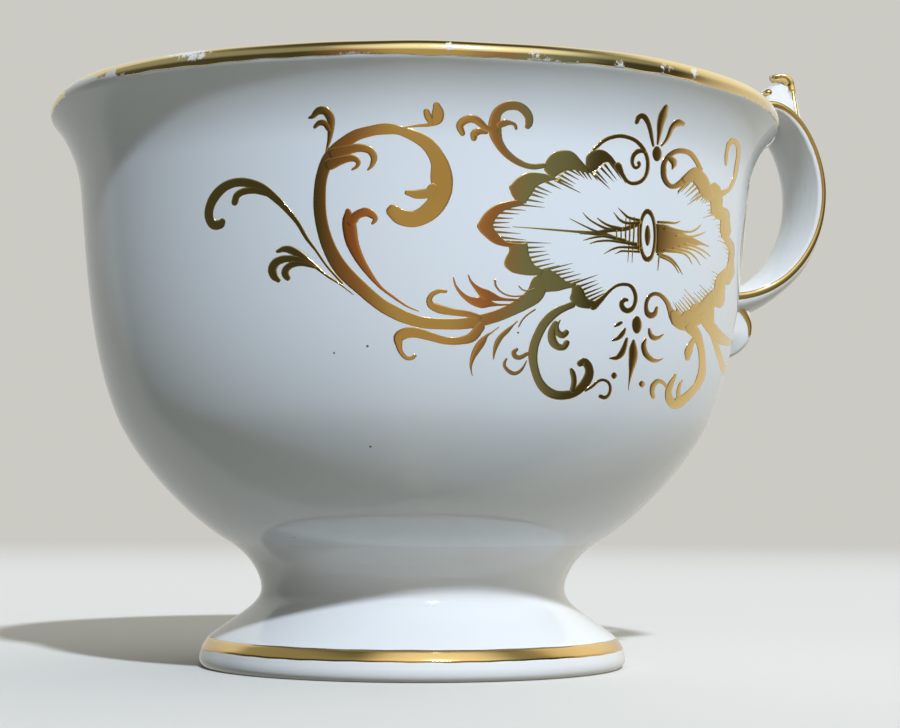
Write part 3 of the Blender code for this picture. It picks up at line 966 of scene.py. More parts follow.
# Brush strokes of the gilt foliage as seen square on: across, up and width of the line.
C_SCROLL = (
    (16.6, 50.4, 2.2), (16.0, 49.0, 2.2), (14.8, 48.0, 1.9), (13.1, 47.0, 1.6), (11.1, 46.1, 1.5),
    (8.7, 45.4, 1.5), (6.7, 45.0, 1.4), (4.3, 44.9, 1.35), (1.4, 45.05, 1.4), (-1.1, 45.7, 1.5),
    (-2.85, 46.5, 1.6), (-4.6, 47.5, 1.6), (-6.9, 49.4, 1.7), (-9.7, 52.1, 1.9), (-11.4, 54.9, 1.75),
    (-12.45, 58.1, 1.6), (-12.8, 61.3, 1.6), (-12.5, 64.8, 1.5), (-11.2, 67.6, 1.7), (-8.5, 69.9, 1.5),
    (-6.05, 70.75, 1.35), (-3.9, 71.05, 1.4), (-1.85, 70.75, 1.15), (1.24, 69.3, 1.65),
    (2.95, 67.05, 2.05), (3.45, 64.7, 2.8), (3.4, 62.3, 2.5), (2.05, 60.2, 2.4), (0.0, 59.0, 2.1),
    (-1.9, 59.2, 2.0), (-3.0, 60.0, 1.7),
)
SCROLL_TOOTH = ((2.3, 63.1, 1.4), (1.7, 62.5, 1.35), (0.2, 62.3, 1.2), (-1.1, 62.5, 0.7))
TOP_SPRIG = (
    (-1.85, 71.2, 0.2), (0.1, 71.5, 0.35), (1.85, 71.7, 0.6), (2.8, 72.4, 1.5), (2.9, 73.3, 1.6),
    (2.75, 74.1, 1.0),
)
TOP_SPRIG_LOBE = ((2.0, 72.0, 0.8), (1.6, 72.7, 1.0), (1.4, 73.3, 0.9))
LEFT_SPRIG = (
    (-12.0, 68.0, 0.25), (-11.6, 69.45, 0.6), (-11.4, 71.2, 1.0), (-11.5, 72.5, 1.2), (-12.2, 73.4, 1.2),
    (-13.1, 73.4, 1.1), (-13.8, 72.7, 0.7), (-14.25, 72.5, 0.4),
)
LEFT_SPRIG_HOOK = ((-11.7, 71.05, 0.8), (-12.2, 71.75, 0.9), (-12.95, 71.8, 0.8), (-13.5, 71.3, 0.55))
CREST_HOOK_ONE = (
    (-10.9, 67.75, 1.6), (-8.95, 68.25, 1.3), (-7.5, 68.5, 1.1), (-6.15, 68.15, 1.0), (-5.6, 67.2, 0.9),
    (-5.85, 66.2, 0.6), (-6.35, 65.6, 0.3),
)
CREST_HOOK_TWO = (
    (-11.4, 66.3, 1.6), (-9.7, 66.9, 1.1), (-8.35, 67.1, 0.9), (-7.7, 66.6, 0.7), (-7.85, 66.0, 0.5),
    (-8.45, 65.6, 0.3),
)
FAR_CURL = (
    (-9.7, 50.3, 0.3), (-11.7, 52.5, 0.3), (-13.2, 54.6, 0.35), (-14.5, 56.3, 0.5), (-15.7, 58.3, 0.6),
    (-17.2, 60.1, 0.75), (-18.7, 61.6, 1.0), (-20.4, 62.9, 1.2), (-22.15, 63.6, 1.2), (-23.85, 63.7, 1.2),
    (-25.4, 63.15, 1.25), (-26.6, 62.0, 1.3), (-27.35, 60.55, 1.2), (-27.5, 59.05, 1.15),
    (-26.9, 57.95, 1.2), (-26.0, 58.1, 1.3), (-25.75, 58.4, 0.9),
)
FAR_CURL_HOOK = (
    (-19.7, 62.2, 0.8), (-21.4, 62.65, 1.0), (-22.9, 62.5, 1.0), (-23.8, 61.95, 1.0),
    (-24.1, 61.05, 0.95),
)
LEAF_STEM = ((-8.2, 48.8, 0.15), (-9.9, 50.1, 0.25), (-11.65, 51.2, 0.35), (-13.35, 52.5, 0.5))
LEAF_UPPER = (
    (-13.35, 52.6, 0.4), (-15.1, 53.9, 0.9), (-16.4, 54.6, 1.1), (-17.4, 54.8, 0.9), (-18.3, 54.5, 0.5),
)
LEAF_MIDDLE = (
    (-13.35, 52.45, 0.4), (-15.3, 53.35, 0.8), (-17.15, 53.5, 1.0), (-18.45, 53.05, 1.2),
    (-19.0, 52.1, 1.2), (-18.75, 51.15, 1.1), (-18.2, 50.65, 0.7),
)
LEAF_LOWER = (
    (-13.35, 52.4, 0.4), (-15.05, 52.85, 0.7), (-16.3, 52.75, 0.9), (-17.1, 52.2, 1.0),
    (-17.3, 51.5, 1.05), (-17.0, 51.0, 0.9),
)
INNER_HOOK = (
    (0.5, 46.6, 0.12), (-1.1, 47.3, 0.25), (-2.9, 48.5, 0.35), (-4.7, 49.9, 0.45), (-6.3, 51.85, 0.9),
    (-7.55, 53.8, 1.3), (-8.4, 55.75, 1.7), (-8.75, 57.5, 1.9), (-8.9, 58.85, 1.7), (-9.0, 59.9, 0.8),
)
INNER_HOOK_CURL = (
    (-8.5, 58.6, 1.4), (-7.75, 59.45, 1.2), (-6.65, 59.85, 1.2), (-5.8, 59.5, 1.0), (-5.35, 58.9, 0.7),
    (-5.7, 58.35, 0.4),
)
STEM_UPPER_CURL = (
    (8.5, 45.8, 0.9), (6.95, 46.3, 0.9), (5.0, 46.55, 1.0), (3.4, 46.9, 1.2), (2.2, 47.4, 1.0),
    (1.9, 48.15, 0.8), (2.35, 48.9, 0.7), (3.2, 49.3, 0.6), (4.05, 49.3, 0.5),
)
STEM_LOWER_CURL = (
    (8.65, 44.5, 1.3), (7.6, 43.2, 1.3), (5.9, 42.7, 1.0), (4.15, 42.7, 1.0), (2.2, 43.2, 1.1),
    (0.4, 43.7, 1.3), (-1.1, 43.7, 1.4), (-2.1, 43.1, 1.4), (-2.1, 42.1, 0.9), (-1.8, 41.1, 0.6),
    (-1.1, 40.4, 0.55), (-0.35, 40.35, 0.5), (0.05, 40.65, 0.45),
)
FLAME_UPPER = (
    (13.85, 48.2, 0.3), (11.6, 48.3, 0.5), (10.3, 48.6, 1.1), (9.4, 48.9, 1.4), (8.6, 49.45, 0.9),
    (7.9, 50.1, 0.5), (7.4, 50.75, 0.3), (7.1, 51.5, 0.15),
)
FLAME_LOWER = (
    (13.0, 47.6, 0.2), (11.1, 47.55, 0.35), (10.1, 47.65, 0.8), (9.1, 47.85, 1.6), (8.0, 47.95, 1.2),
    (7.0, 48.35, 0.75), (6.1, 49.1, 0.5), (5.4, 50.1, 0.3), (5.1, 51.2, 0.15),
)
FLAME_HAIR = (
    (10.65, 50.8, 0.35), (10.75, 50.1, 0.3), (11.3, 49.4, 0.25), (12.15, 48.9, 0.25), (13.3, 48.7, 0.25),
    (14.7, 48.85, 0.25),
)
FLAME_HAIR_SHORT = ((13.85, 50.05, 0.2), (14.3, 49.6, 0.22), (15.0, 49.45, 0.22), (15.9, 49.7, 0.25))
LOWER_FLAME_ONE = (
    (11.15, 44.55, 0.15), (10.3, 43.9, 0.2), (9.6, 43.4, 0.45), (8.95, 42.55, 1.0), (8.25, 41.5, 1.0),
    (7.75, 40.5, 0.7), (7.5, 39.5, 0.4), (7.55, 38.65, 0.2), (7.7, 38.1, 0.1),
)
LOWER_FLAME_TWO = (
    (13.65, 45.4, 0.15), (13.0, 44.75, 0.3), (12.4, 44.15, 0.6), (11.6, 43.4, 0.7), (11.1, 42.7, 0.75),
    (10.75, 41.85, 0.6), (10.55, 41.0, 0.35), (10.5, 40.35, 0.15),
)
LOWER_FLAME_LINE = ((16.0, 46.95, 0.25), (15.0, 46.25, 0.25), (14.3, 45.5, 0.25), (13.85, 44.65, 0.2))
LOWER_SCROLL = (
    (20.95, 47.6, 0.9), (20.1, 47.25, 0.9), (18.97, 46.7, 1.1), (17.97, 45.9, 1.2), (17.1, 44.85, 1.2),
    (16.5, 43.7, 1.2), (16.0, 42.45, 1.2), (15.75, 41.15, 1.25), (15.8, 39.9, 1.15), (16.05, 38.75, 1.1),
    (16.45, 37.6, 1.1), (17.1, 36.6, 1.2), (17.95, 35.9, 1.25), (18.95, 35.55, 1.2), (20.1, 35.55, 1.2),
    (21.25, 35.85, 1.1), (22.2, 36.6, 1.2), (22.9, 37.5, 1.3), (23.25, 38.5, 1.2), (23.1, 39.45, 1.1),
    (22.55, 40.0, 1.1), (22.05, 39.8, 0.9),
)
SCROLL_FINGER = (
    (20.95, 36.2, 0.7), (21.2, 37.05, 0.8), (21.2, 37.9, 0.8), (21.0, 38.6, 0.75), (20.85, 38.95, 0.5),
)
SCROLL_BULB = (
    (15.7, 41.15, 0.6), (15.0, 41.05, 0.6), (14.4, 40.7, 0.65), (13.85, 40.5, 0.7), (13.35, 40.7, 0.7),
    (13.2, 41.2, 0.7), (13.55, 41.55, 0.5),
)
SCROLL_CRESCENT = (
    (14.9, 40.1, 0.15), (14.4, 39.15, 0.35), (13.85, 38.6, 0.5), (13.15, 38.4, 0.6), (12.45, 38.75, 0.55),
    (11.95, 39.4, 0.45), (12.0, 39.95, 0.4), (12.2, 40.3, 0.3),
)
SCROLL_LEAF = (
    (18.7, 45.0, 0.9), (18.25, 43.85, 1.1), (18.4, 42.7, 1.2), (19.05, 42.0, 1.0), (19.85, 41.95, 0.9),
    (20.2, 42.45, 0.9),
)
SCROLL_LEAF_LOBE = (
    (19.35, 45.55, 0.2), (18.95, 44.7, 0.5), (19.1, 43.85, 0.9), (19.7, 43.55, 1.0), (20.1, 43.85, 0.9),
)
SCROLL_TENDRIL = (
    (22.8, 36.2, 0.4), (23.65, 36.75, 0.45), (24.3, 37.35, 0.45), (25.0, 37.6, 0.45), (25.7, 37.35, 0.45),
    (26.05, 36.65, 0.45), (25.9, 35.75, 0.5), (25.35, 35.25, 0.6), (24.75, 35.4, 0.6),
)
LOW_VOLUTE = (
    (23.85, 47.5, 1.2), (24.55, 48.1, 0.9), (25.35, 48.9, 0.6), (26.05, 49.6, 0.45), (26.9, 50.2, 0.45),
    (27.9, 50.4, 0.5), (28.75, 50.2, 0.55), (29.25, 49.5, 0.6), (29.45, 48.6, 0.6), (29.3, 47.75, 0.6),
    (28.9, 47.1, 0.7), (28.3, 46.85, 0.8), (27.75, 47.2, 0.8), (27.55, 47.85, 0.7), (27.9, 48.3, 0.7),
    (28.25, 48.3, 0.5),
)
LOW_DASH = ((26.7, 44.8, 0.35), (27.1, 45.05, 0.55), (27.5, 45.25, 0.45))
LOW_PETAL_SHORT = ((26.4, 42.9, 0.35), (27.1, 43.2, 0.6), (27.7, 43.85, 0.7), (28.0, 44.4, 0.4))
LOW_PETAL_LONG = (
    (26.0, 40.5, 0.25), (26.85, 40.55, 0.65), (27.5, 41.1, 0.9), (27.9, 41.95, 0.75), (28.25, 43.1, 0.45),
)
LOW_PETAL_MIDDLE = (
    (29.15, 42.8, 0.5), (29.1, 41.85, 1.1), (29.1, 40.85, 1.25), (28.95, 39.7, 1.0), (28.8, 38.7, 0.6),
    (28.6, 37.55, 0.3), (28.45, 36.3, 0.1),
)
TOP_SCROLL = (
    (17.1, 66.3, 0.7), (15.8, 66.15, 0.8), (14.65, 66.35, 0.8), (13.55, 66.85, 0.9), (12.55, 67.55, 1.0),
    (11.7, 68.4, 1.1), (11.05, 69.4, 1.3), (10.7, 70.35, 1.6), (10.55, 71.35, 1.8), (10.55, 72.35, 1.5),
    (10.9, 73.4, 1.3), (11.7, 74.1, 1.2), (12.7, 74.4, 1.2), (13.8, 74.3, 1.2), (14.65, 73.7, 1.2),
    (15.15, 72.85, 1.1), (15.15, 72.0, 1.0), (15.0, 71.65, 0.8),
)
TOP_SCROLL_HOOK = (
    (11.25, 71.8, 1.0), (11.95, 72.05, 1.0), (12.7, 72.05, 0.6), (13.25, 71.8, 0.5), (13.4, 71.35, 0.45),
)
TOP_SCROLL_LEAF = (
    (10.55, 71.1, 1.0), (9.4, 71.35, 0.8), (8.7, 71.9, 1.0), (8.0, 72.4, 1.1), (7.15, 72.5, 1.1),
    (6.3, 72.15, 1.1), (5.85, 71.5, 1.0), (6.2, 70.6, 0.8),
)
TOP_SCROLL_BULB = ((9.4, 70.7, 0.5), (8.55, 70.85, 0.9), (7.85, 70.55, 1.1), (7.75, 70.0, 0.9))
RIGHT_TENDRIL = (
    (41.1, 62.8, 0.9), (42.0, 63.3, 0.55), (42.5, 64.2, 0.5), (42.8, 65.2, 0.55), (43.0, 66.3, 0.6),
    (43.2, 67.5, 0.6), (43.3, 68.6, 0.6), (43.1, 69.6, 0.7), (42.6, 69.95, 0.8), (42.1, 69.6, 0.7),
    (41.8, 68.8, 0.5), (41.65, 67.8, 0.5), (41.6, 66.7, 0.35),
)
RIGHT_TOP_VOLUTE = (
    (37.6, 65.5, 1.6), (37.0, 65.15, 1.5), (36.2, 64.55, 1.25), (35.4, 64.0, 0.9), (34.7, 63.65, 0.7),
    (34.1, 63.7, 0.7), (33.55, 64.25, 0.75), (33.25, 65.0, 0.8), (33.2, 65.8, 0.8), (33.25, 66.6, 0.75),
    (33.55, 67.3, 0.7), (34.15, 67.95, 0.7), (35.0, 68.4, 0.72), (35.9, 68.45, 0.75), (36.7, 68.2, 0.75),
    (37.3, 67.6, 0.7), (37.8, 66.8, 0.65), (38.2, 66.0, 0.6),
)
RIGHT_VOLUTE_COMMA = ((33.9, 67.5, 0.7), (34.45, 67.15, 1.0), (34.6, 66.6, 0.8), (34.4, 66.05, 0.3))
RIGHT_TOP_PETAL = (
    (33.0, 69.2, 0.35), (33.5, 69.8, 0.5), (33.95, 70.6, 0.6), (34.3, 71.5, 0.7), (34.8, 72.1, 0.9),
    (35.4, 72.3, 1.0), (35.8, 72.2, 0.7),
)
RIGHT_FAN = (
    ((32.5, 58.8, 0.45), (33.8, 58.75, 0.4), (34.8, 58.7, 0.3), (35.4, 58.95, 0.1)),
    ((33.5, 58.0, 0.8), (35.5, 57.6, 0.45), (36.8, 57.55, 0.3), (37.6, 57.9, 0.25), (38.2, 58.5, 0.1)),
    ((35.0, 57.0, 0.5), (36.8, 56.9, 0.3), (37.8, 57.1, 0.25), (38.7, 57.5, 0.1)),
    ((36.2, 55.9, 0.45), (37.6, 55.45, 0.3), (38.6, 54.95, 0.25), (39.4, 54.3, 0.1)),
    ((35.4, 55.6, 0.5), (37.2, 55.1, 0.3), (38.1, 54.6, 0.25), (38.9, 53.9, 0.1)),
    ((34.6, 55.3, 0.5), (36.4, 54.85, 0.35), (37.4, 54.1, 0.25), (38.1, 53.1, 0.1)),
    ((33.4, 55.0, 0.6), (35.6, 54.7, 0.35), (36.5, 54.1, 0.25), (37.0, 53.2, 0.1)),
    ((32.5, 54.5, 0.5), (34.0, 54.0, 0.4), (35.0, 53.0, 0.3), (35.7, 51.8, 0.1)),
    ((32.7, 54.2, 0.4), (34.0, 53.6, 0.35), (34.7, 52.9, 0.25), (35.2, 52.0, 0.1)),
    ((32.6, 54.4, 0.25), (32.5, 53.3, 0.2), (32.4, 52.3, 0.1)),
)
RIGHT_LOW_VOLUTE = (
    (34.9, 45.6, 1.6), (34.4, 46.3, 1.2), (34.05, 47.0, 0.8), (33.7, 47.9, 0.65), (33.2, 48.6, 0.6),
    (32.6, 49.05, 0.58), (31.9, 49.15, 0.55), (31.25, 48.75, 0.55), (30.9, 48.0, 0.55),
    (30.85, 47.15, 0.6), (31.05, 46.5, 0.8), (31.5, 46.25, 0.9), (32.0, 46.5, 0.7), (32.25, 47.3, 0.4),
)
RIGHT_LOW_FLAME = (
    (31.25, 44.4, 0.4), (31.4, 43.75, 0.65), (31.85, 43.25, 0.8), (32.5, 43.3, 0.5), (33.15, 43.75, 0.15),
)
RIGHT_LOW_PETAL = (
    (30.75, 43.0, 0.4), (30.5, 42.3, 0.75), (30.65, 41.4, 0.85), (31.1, 40.7, 0.8), (31.8, 40.25, 0.65),
    (32.5, 40.25, 0.35), (33.05, 40.5, 0.12),
)
RIGHT_LOW_HOOK = (
    (31.75, 35.4, 0.6), (31.6, 36.2, 0.7), (31.8, 37.0, 0.75), (32.3, 37.45, 0.7), (32.8, 37.45, 0.6),
    (33.3, 37.05, 0.5), (33.7, 36.4, 0.4),
)
RIGHT_LOWER_SCROLL = (
    (36.8, 44.6, 1.5), (37.5, 43.8, 1.3), (37.95, 42.7, 1.0), (38.2, 41.6, 0.9), (38.3, 40.4, 0.9),
    (38.3, 39.2, 0.95), (38.1, 38.1, 1.05), (37.6, 37.0, 1.0), (36.9, 36.1, 1.0), (36.0, 35.25, 1.15),
    (35.0, 34.6, 1.4), (34.3, 34.6, 1.3), (33.85, 35.3, 1.0), (33.8, 36.2, 0.85), (34.1, 37.1, 0.75),
    (34.45, 37.8, 0.6), (34.7, 38.3, 0.4),
)
RIGHT_SHELL = (
    ((36.3, 64.6, 1.2), (37.4, 65.2, 1.8), (38.2, 64.5, 1.9), (38.8, 63.4, 1.6), (39.3, 62.5, 1.3)),
    ((38.9, 63.0, 1.2), (39.8, 62.7, 1.9), (40.2, 61.7, 1.5), (40.2, 60.6, 1.3), (40.6, 59.7, 1.0)),
    ((40.0, 60.3, 1.0), (41.1, 60.1, 1.7), (41.4, 59.0, 1.2), (41.3, 57.9, 1.1), (41.35, 56.9, 0.8)),
    ((41.6, 56.9, 0.6), (42.2, 55.9, 0.8), (42.3, 54.6, 0.8), (42.1, 53.3, 0.8), (41.8, 52.6, 0.7)),
    ((42.0, 52.8, 0.7), (41.5, 51.9, 1.3), (40.8, 51.0, 1.4), (40.6, 50.0, 1.3), (40.3, 49.2, 1.1)),
    ((41.0, 50.0, 0.9), (40.4, 49.2, 1.7), (39.5, 48.3, 1.8), (38.6, 47.2, 1.9), (37.8, 46.6, 1.6)),
    ((38.4, 46.9, 1.6), (37.2, 46.0, 2.3), (36.0, 45.5, 2.4), (35.0, 45.7, 1.8), (34.5, 46.5, 1.0)),
    ((38.6, 46.0, 1.6), (39.4, 44.8, 1.5), (40.2, 43.8, 1.5), (41.0, 43.1, 1.4), (41.8, 42.8, 1.0)),
)
RIGHT_SCROLL_FINGER = ((35.2, 35.1, 0.7), (35.1, 36.0, 0.6), (35.3, 37.0, 0.45), (35.6, 37.6, 0.3))
RIGHT_SCROLL_LEAF = ((37.3, 43.2, 0.6), (36.75, 42.3, 0.9), (36.45, 41.4, 1.1), (36.35, 40.6, 0.7))
TOP_VOLUTE = (
    (27.1, 66.25, 1.2), (27.75, 65.1, 0.6), (28.45, 64.2, 0.52), (29.35, 64.0, 0.58),
    (30.25, 64.35, 0.58), (30.85, 65.2, 0.58), (31.1, 66.3, 0.58), (31.0, 67.55, 0.58),
    (30.45, 68.75, 0.62), (29.6, 69.7, 0.58), (28.55, 70.2, 0.58), (27.35, 70.4, 0.58),
    (26.05, 70.15, 0.58), (25.05, 69.65, 0.58), (24.35, 69.0, 0.52), (23.85, 68.6, 0.4),
)
TOP_VOLUTE_COMMA = (
    (30.65, 68.3, 0.5), (30.0, 68.4, 0.7), (29.4, 68.1, 0.75), (29.05, 67.4, 0.6), (29.05, 66.6, 0.5),
    (29.45, 66.1, 0.5), (29.95, 66.4, 0.5), (29.9, 66.75, 0.6),
)
TOP_PETAL = (
    (31.85, 69.15, 0.4), (31.65, 70.2, 0.55), (31.45, 71.3, 0.65), (31.15, 72.3, 0.75),
    (30.65, 73.05, 0.85), (30.0, 73.05, 0.8), (29.65, 72.3, 0.6),
)
TOP_PETAL_MIDDLE = (
    (32.45, 69.4, 0.35), (32.65, 70.7, 0.65), (32.85, 72.1, 1.0), (33.2, 73.3, 1.15), (33.6, 74.3, 0.75),
)
MIDRIB = (
    (
        (13.0, 58.05, 0.12), (16.0, 57.85, 0.22), (18.0, 57.7, 0.3), (20.0, 57.55, 0.32),
        (22.0, 57.4, 0.4), (24.0, 57.3, 0.55), (26.0, 57.65, 0.6), (28.0, 57.85, 0.65), (29.0, 58.2, 0.7),
        (30.0, 58.7, 0.7),
    ),
    (
        (22.0, 57.2, 0.2), (24.0, 57.15, 0.45), (25.5, 57.0, 0.6), (26.6, 56.65, 0.55), (28.0, 56.2, 0.5),
        (29.2, 55.8, 0.6), (30.0, 55.5, 0.7),
    ),
    ((29.85, 58.9, 0.3), (29.8, 57.2, 0.35), (29.85, 55.0, 0.3)),
)
EYE_HAIRS = (
    ((29.9, 59.05, 0.45), (28.5, 59.4, 0.4), (27.8, 60.0, 0.3), (27.1, 60.7, 0.1)),
    ((29.9, 58.7, 0.5), (28.3, 58.65, 0.45), (27.3, 59.1, 0.35), (26.5, 60.1, 0.1)),
    ((27.5, 57.9, 0.5), (26.0, 58.25, 0.4), (25.0, 58.75, 0.3), (24.3, 59.3, 0.15)),
    ((27.0, 57.75, 0.4), (25.5, 57.9, 0.4), (24.0, 58.6, 0.3), (23.0, 59.3, 0.25), (22.4, 60.0, 0.1)),
    ((25.5, 57.3, 0.35), (24.2, 57.5, 0.35), (22.6, 58.2, 0.25), (20.6, 59.2, 0.1)),
    ((29.9, 54.8, 0.4), (28.5, 54.85, 0.3), (27.5, 54.85, 0.3), (26.7, 54.5, 0.1)),
    ((29.8, 55.3, 0.5), (27.5, 55.4, 0.35), (26.3, 55.1, 0.3), (25.2, 54.5, 0.1)),
    ((29.5, 55.8, 0.6), (28.0, 56.0, 0.45), (26.0, 56.25, 0.35), (24.3, 56.15, 0.3), (23.3, 55.85, 0.15)),
    ((28.0, 56.3, 0.5), (26.0, 56.75, 0.5), (25.0, 56.85, 0.4), (23.5, 56.6, 0.3), (22.5, 56.3, 0.15)),
)
EYE_HATCH = (
    ((26.9, 57.6, 0.2), (26.9, 56.5, 0.2)),
    ((27.5, 57.8, 0.22), (27.5, 56.2, 0.22)),
    ((28.15, 59.3, 0.16), (28.1, 57.2, 0.26), (28.1, 56.0, 0.2)),
    ((28.7, 59.3, 0.18), (28.65, 57.0, 0.26), (28.5, 55.0, 0.18), (28.4, 53.4, 0.08)),
    ((29.25, 59.4, 0.2), (29.2, 57.0, 0.26), (29.05, 55.0, 0.18), (28.95, 53.3, 0.08)),
)


@dataclass(frozen=True)
class Lobe:
    """One lobe of the shell: its outer and inner edges, and the root and tip of each hair of its comb."""

    outer: Points
    inner: Points
    hairs: Points
    copper: float


LOBES = (
    Lobe(
        ((22.7, 65.6), (22.7, 66.8), (22.75, 67.5), (23.1, 68.1), (23.75, 68.5), (24.7, 68.6),
         (25.4, 68.4), (26.1, 67.85), (26.7, 67.1), (27.2, 66.2), (27.8, 65.1), (28.3, 64.35)),
        ((23.0, 65.3), (23.7, 65.5), (24.3, 65.8), (24.9, 66.4), (25.5, 66.8), (26.1, 66.6), (26.7, 66.0),
         (27.4, 65.0), (28.2, 64.1)),
        ((23.2, 65.8, 24.4, 64.3), (23.8, 65.3, 26.1, 63.15), (24.0, 65.8, 25.75, 63.9),
         (24.6, 66.3, 26.6, 64.15), (25.1, 66.8, 27.0, 64.35), (25.9, 67.0, 27.6, 64.5),
         (26.7, 66.4, 28.2, 63.9)),
        0.0,
    ),
    Lobe(
        ((17.15, 65.6), (17.2, 66.3), (17.45, 67.05), (17.95, 67.75), (18.65, 68.25), (19.65, 68.45),
         (20.65, 68.4), (21.4, 67.95), (22.1, 67.15), (22.85, 66.3), (23.3, 65.9)),
        ((18.3, 64.4), (18.9, 64.9), (19.5, 65.3), (20.3, 65.6), (21.2, 65.7), (22.2, 65.5),
         (23.4, 65.3)),
        ((18.6, 64.4, 22.2, 62.6), (19.0, 64.6, 21.2, 63.5), (19.2, 65.15, 21.45, 63.85),
         (19.7, 65.6, 21.85, 64.4), (20.4, 65.9, 22.1, 64.9), (21.4, 65.9, 22.6, 64.6),
         (22.1, 65.8, 23.05, 64.45), (22.8, 65.6, 23.6, 64.4)),
        0.1,
    ),
    Lobe(
        ((17.4, 65.2), (16.1, 65.4), (15.1, 65.4), (14.4, 65.15), (13.55, 64.65), (12.95, 64.0),
         (12.4, 63.4), (12.55, 63.0), (12.8, 62.3), (13.2, 61.7), (13.4, 61.1)),
        ((19.3, 64.5), (17.6, 64.1), (16.3, 63.5), (15.9, 62.9), (15.5, 62.2), (15.0, 61.7),
         (14.8, 61.1)),
        ((17.3, 64.2, 19.6, 63.1), (15.9, 63.6, 18.3, 62.6), (15.6, 63.0, 17.8, 62.3),
         (15.4, 62.45, 17.3, 61.9), (14.6, 61.75, 17.2, 61.3)),
        0.15,
    ),
    Lobe(
        ((14.0, 61.75), (12.4, 61.5), (10.95, 61.1), (10.1, 60.65), (9.4, 60.05), (8.85, 59.35),
         (8.4, 58.55), (8.15, 58.1), (8.55, 57.35), (9.25, 56.65), (10.1, 55.95), (10.95, 55.55),
         (11.95, 55.35), (13.2, 55.2)),
        ((14.7, 60.9), (12.4, 60.4), (11.2, 59.6), (10.6, 58.75), (10.45, 58.0), (10.9, 57.3),
         (11.6, 56.5), (12.6, 55.95), (14.6, 55.8)),
        ((12.6, 61.15, 17.3, 60.65), (11.6, 60.45, 14.8, 60.25), (11.1, 59.9, 13.9, 59.75),
         (10.5, 59.2, 13.1, 59.15), (10.1, 58.55, 12.6, 58.6), (9.9, 58.0, 12.7, 57.9),
         (10.4, 57.35, 14.1, 57.1), (10.9, 56.65, 14.8, 56.25), (12.1, 56.0, 18.2, 55.85)),
        0.7,
    ),
    Lobe(
        ((12.3, 55.7), (12.5, 54.8), (12.1, 54.0), (11.85, 53.3), (11.9, 52.75), (12.4, 52.2),
         (13.1, 51.8), (14.1, 51.6), (15.1, 51.5), (16.1, 51.5), (17.0, 51.4)),
        ((15.0, 56.0), (15.1, 55.2), (15.2, 54.5), (15.5, 53.7), (16.0, 52.9), (17.2, 52.2)),
        ((14.6, 55.2, 17.3, 55.35), (14.6, 54.55, 17.6, 54.8), (14.9, 53.8, 17.9, 54.4),
         (15.4, 53.2, 18.1, 53.75), (15.6, 52.5, 18.7, 53.25), (16.3, 52.1, 19.3, 52.9)),
        0.1,
    ),
    Lobe(
        ((16.2, 51.9), (16.3, 51.0), (16.4, 50.2), (17.1, 49.3), (18.1, 49.3), (19.1, 49.4), (20.1, 49.7),
         (21.5, 50.0)),
        ((16.95, 52.45), (17.8, 52.4), (18.65, 52.0), (19.3, 51.5), (19.8, 51.1), (20.5, 50.6),
         (21.6, 50.4)),
        ((17.2, 52.2, 21.1, 53.2), (18.2, 51.9, 20.8, 52.5), (18.6, 51.5, 21.3, 52.1),
         (19.2, 51.0, 22.2, 51.8), (19.8, 50.5, 22.2, 51.15), (20.6, 50.3, 24.5, 51.7),
         (19.8, 50.1, 22.0, 50.75)),
        0.05,
    ),
    Lobe(
        ((20.9, 50.3), (20.8, 49.2), (20.6, 48.35), (21.5, 47.4), (22.65, 47.1), (23.8, 47.15),
         (24.65, 47.65), (25.4, 48.5)),
        ((21.8, 50.4), (22.2, 50.0), (22.6, 49.5), (22.8, 48.9), (23.2, 48.4), (23.9, 48.2), (24.7, 48.4),
         (25.3, 48.9)),
        ((21.7, 50.0, 24.3, 50.95), (22.1, 49.5, 24.6, 50.55), (22.2, 48.9, 25.1, 50.05),
         (22.4, 48.4, 25.4, 49.7), (23.1, 48.1, 25.8, 49.45), (23.9, 47.95, 26.2, 49.4)),
        0.0,
    ),
)
RIGHT_FAN_BODY = Lobe(
    ((32.0, 58.65), (33.6, 58.5), (34.6, 58.0), (35.8, 57.4), (37.2, 56.75), (38.4, 56.1), (39.4, 55.55)),
    (
        (32.0, 54.6), (33.0, 54.45), (33.6, 54.95), (34.8, 55.05), (36.0, 55.4), (37.4, 55.65),
        (38.4, 55.75), (39.4, 55.4),
    ),
    (),
    0.25,
)
EYE = (31.05, 57.0)
TOP_OVAL = (32.35, 68.05)
LOW_OVAL = (29.6, 45.0)

# Strokes by how coppery their gold is. The scrolls and the lobes are repeated as a mirror image.
FAR_STROKES = {
    0.05: (
        FAR_CURL, FAR_CURL_HOOK, LEAF_STEM, LEAF_UPPER, LEAF_MIDDLE, LEAF_LOWER, LEFT_SPRIG,
        LEFT_SPRIG_HOOK,
    ),
    0.3: (TOP_SCROLL, TOP_SCROLL_HOOK, TOP_SCROLL_LEAF, TOP_SCROLL_BULB),
}
SHELL_STROKES = {
    0.9: (FLAME_UPPER, FLAME_LOWER),
    0.35: (FLAME_HAIR, FLAME_HAIR_SHORT, STEM_UPPER_CURL, STEM_LOWER_CURL),
    0.5: (LOWER_FLAME_ONE, LOWER_FLAME_TWO, LOWER_FLAME_LINE, SCROLL_BULB, SCROLL_CRESCENT),
    0.15: (LOWER_SCROLL, SCROLL_FINGER, SCROLL_LEAF, SCROLL_LEAF_LOBE, SCROLL_TENDRIL),
    0.25: (
        LOW_VOLUTE, LOW_DASH, LOW_PETAL_SHORT, LOW_PETAL_LONG, TOP_VOLUTE, TOP_VOLUTE_COMMA, TOP_PETAL,
    ),
    0.1: (*MIDRIB, *EYE_HAIRS, *EYE_HATCH),
    0.3: (LOW_PETAL_MIDDLE, TOP_PETAL_MIDDLE),
}
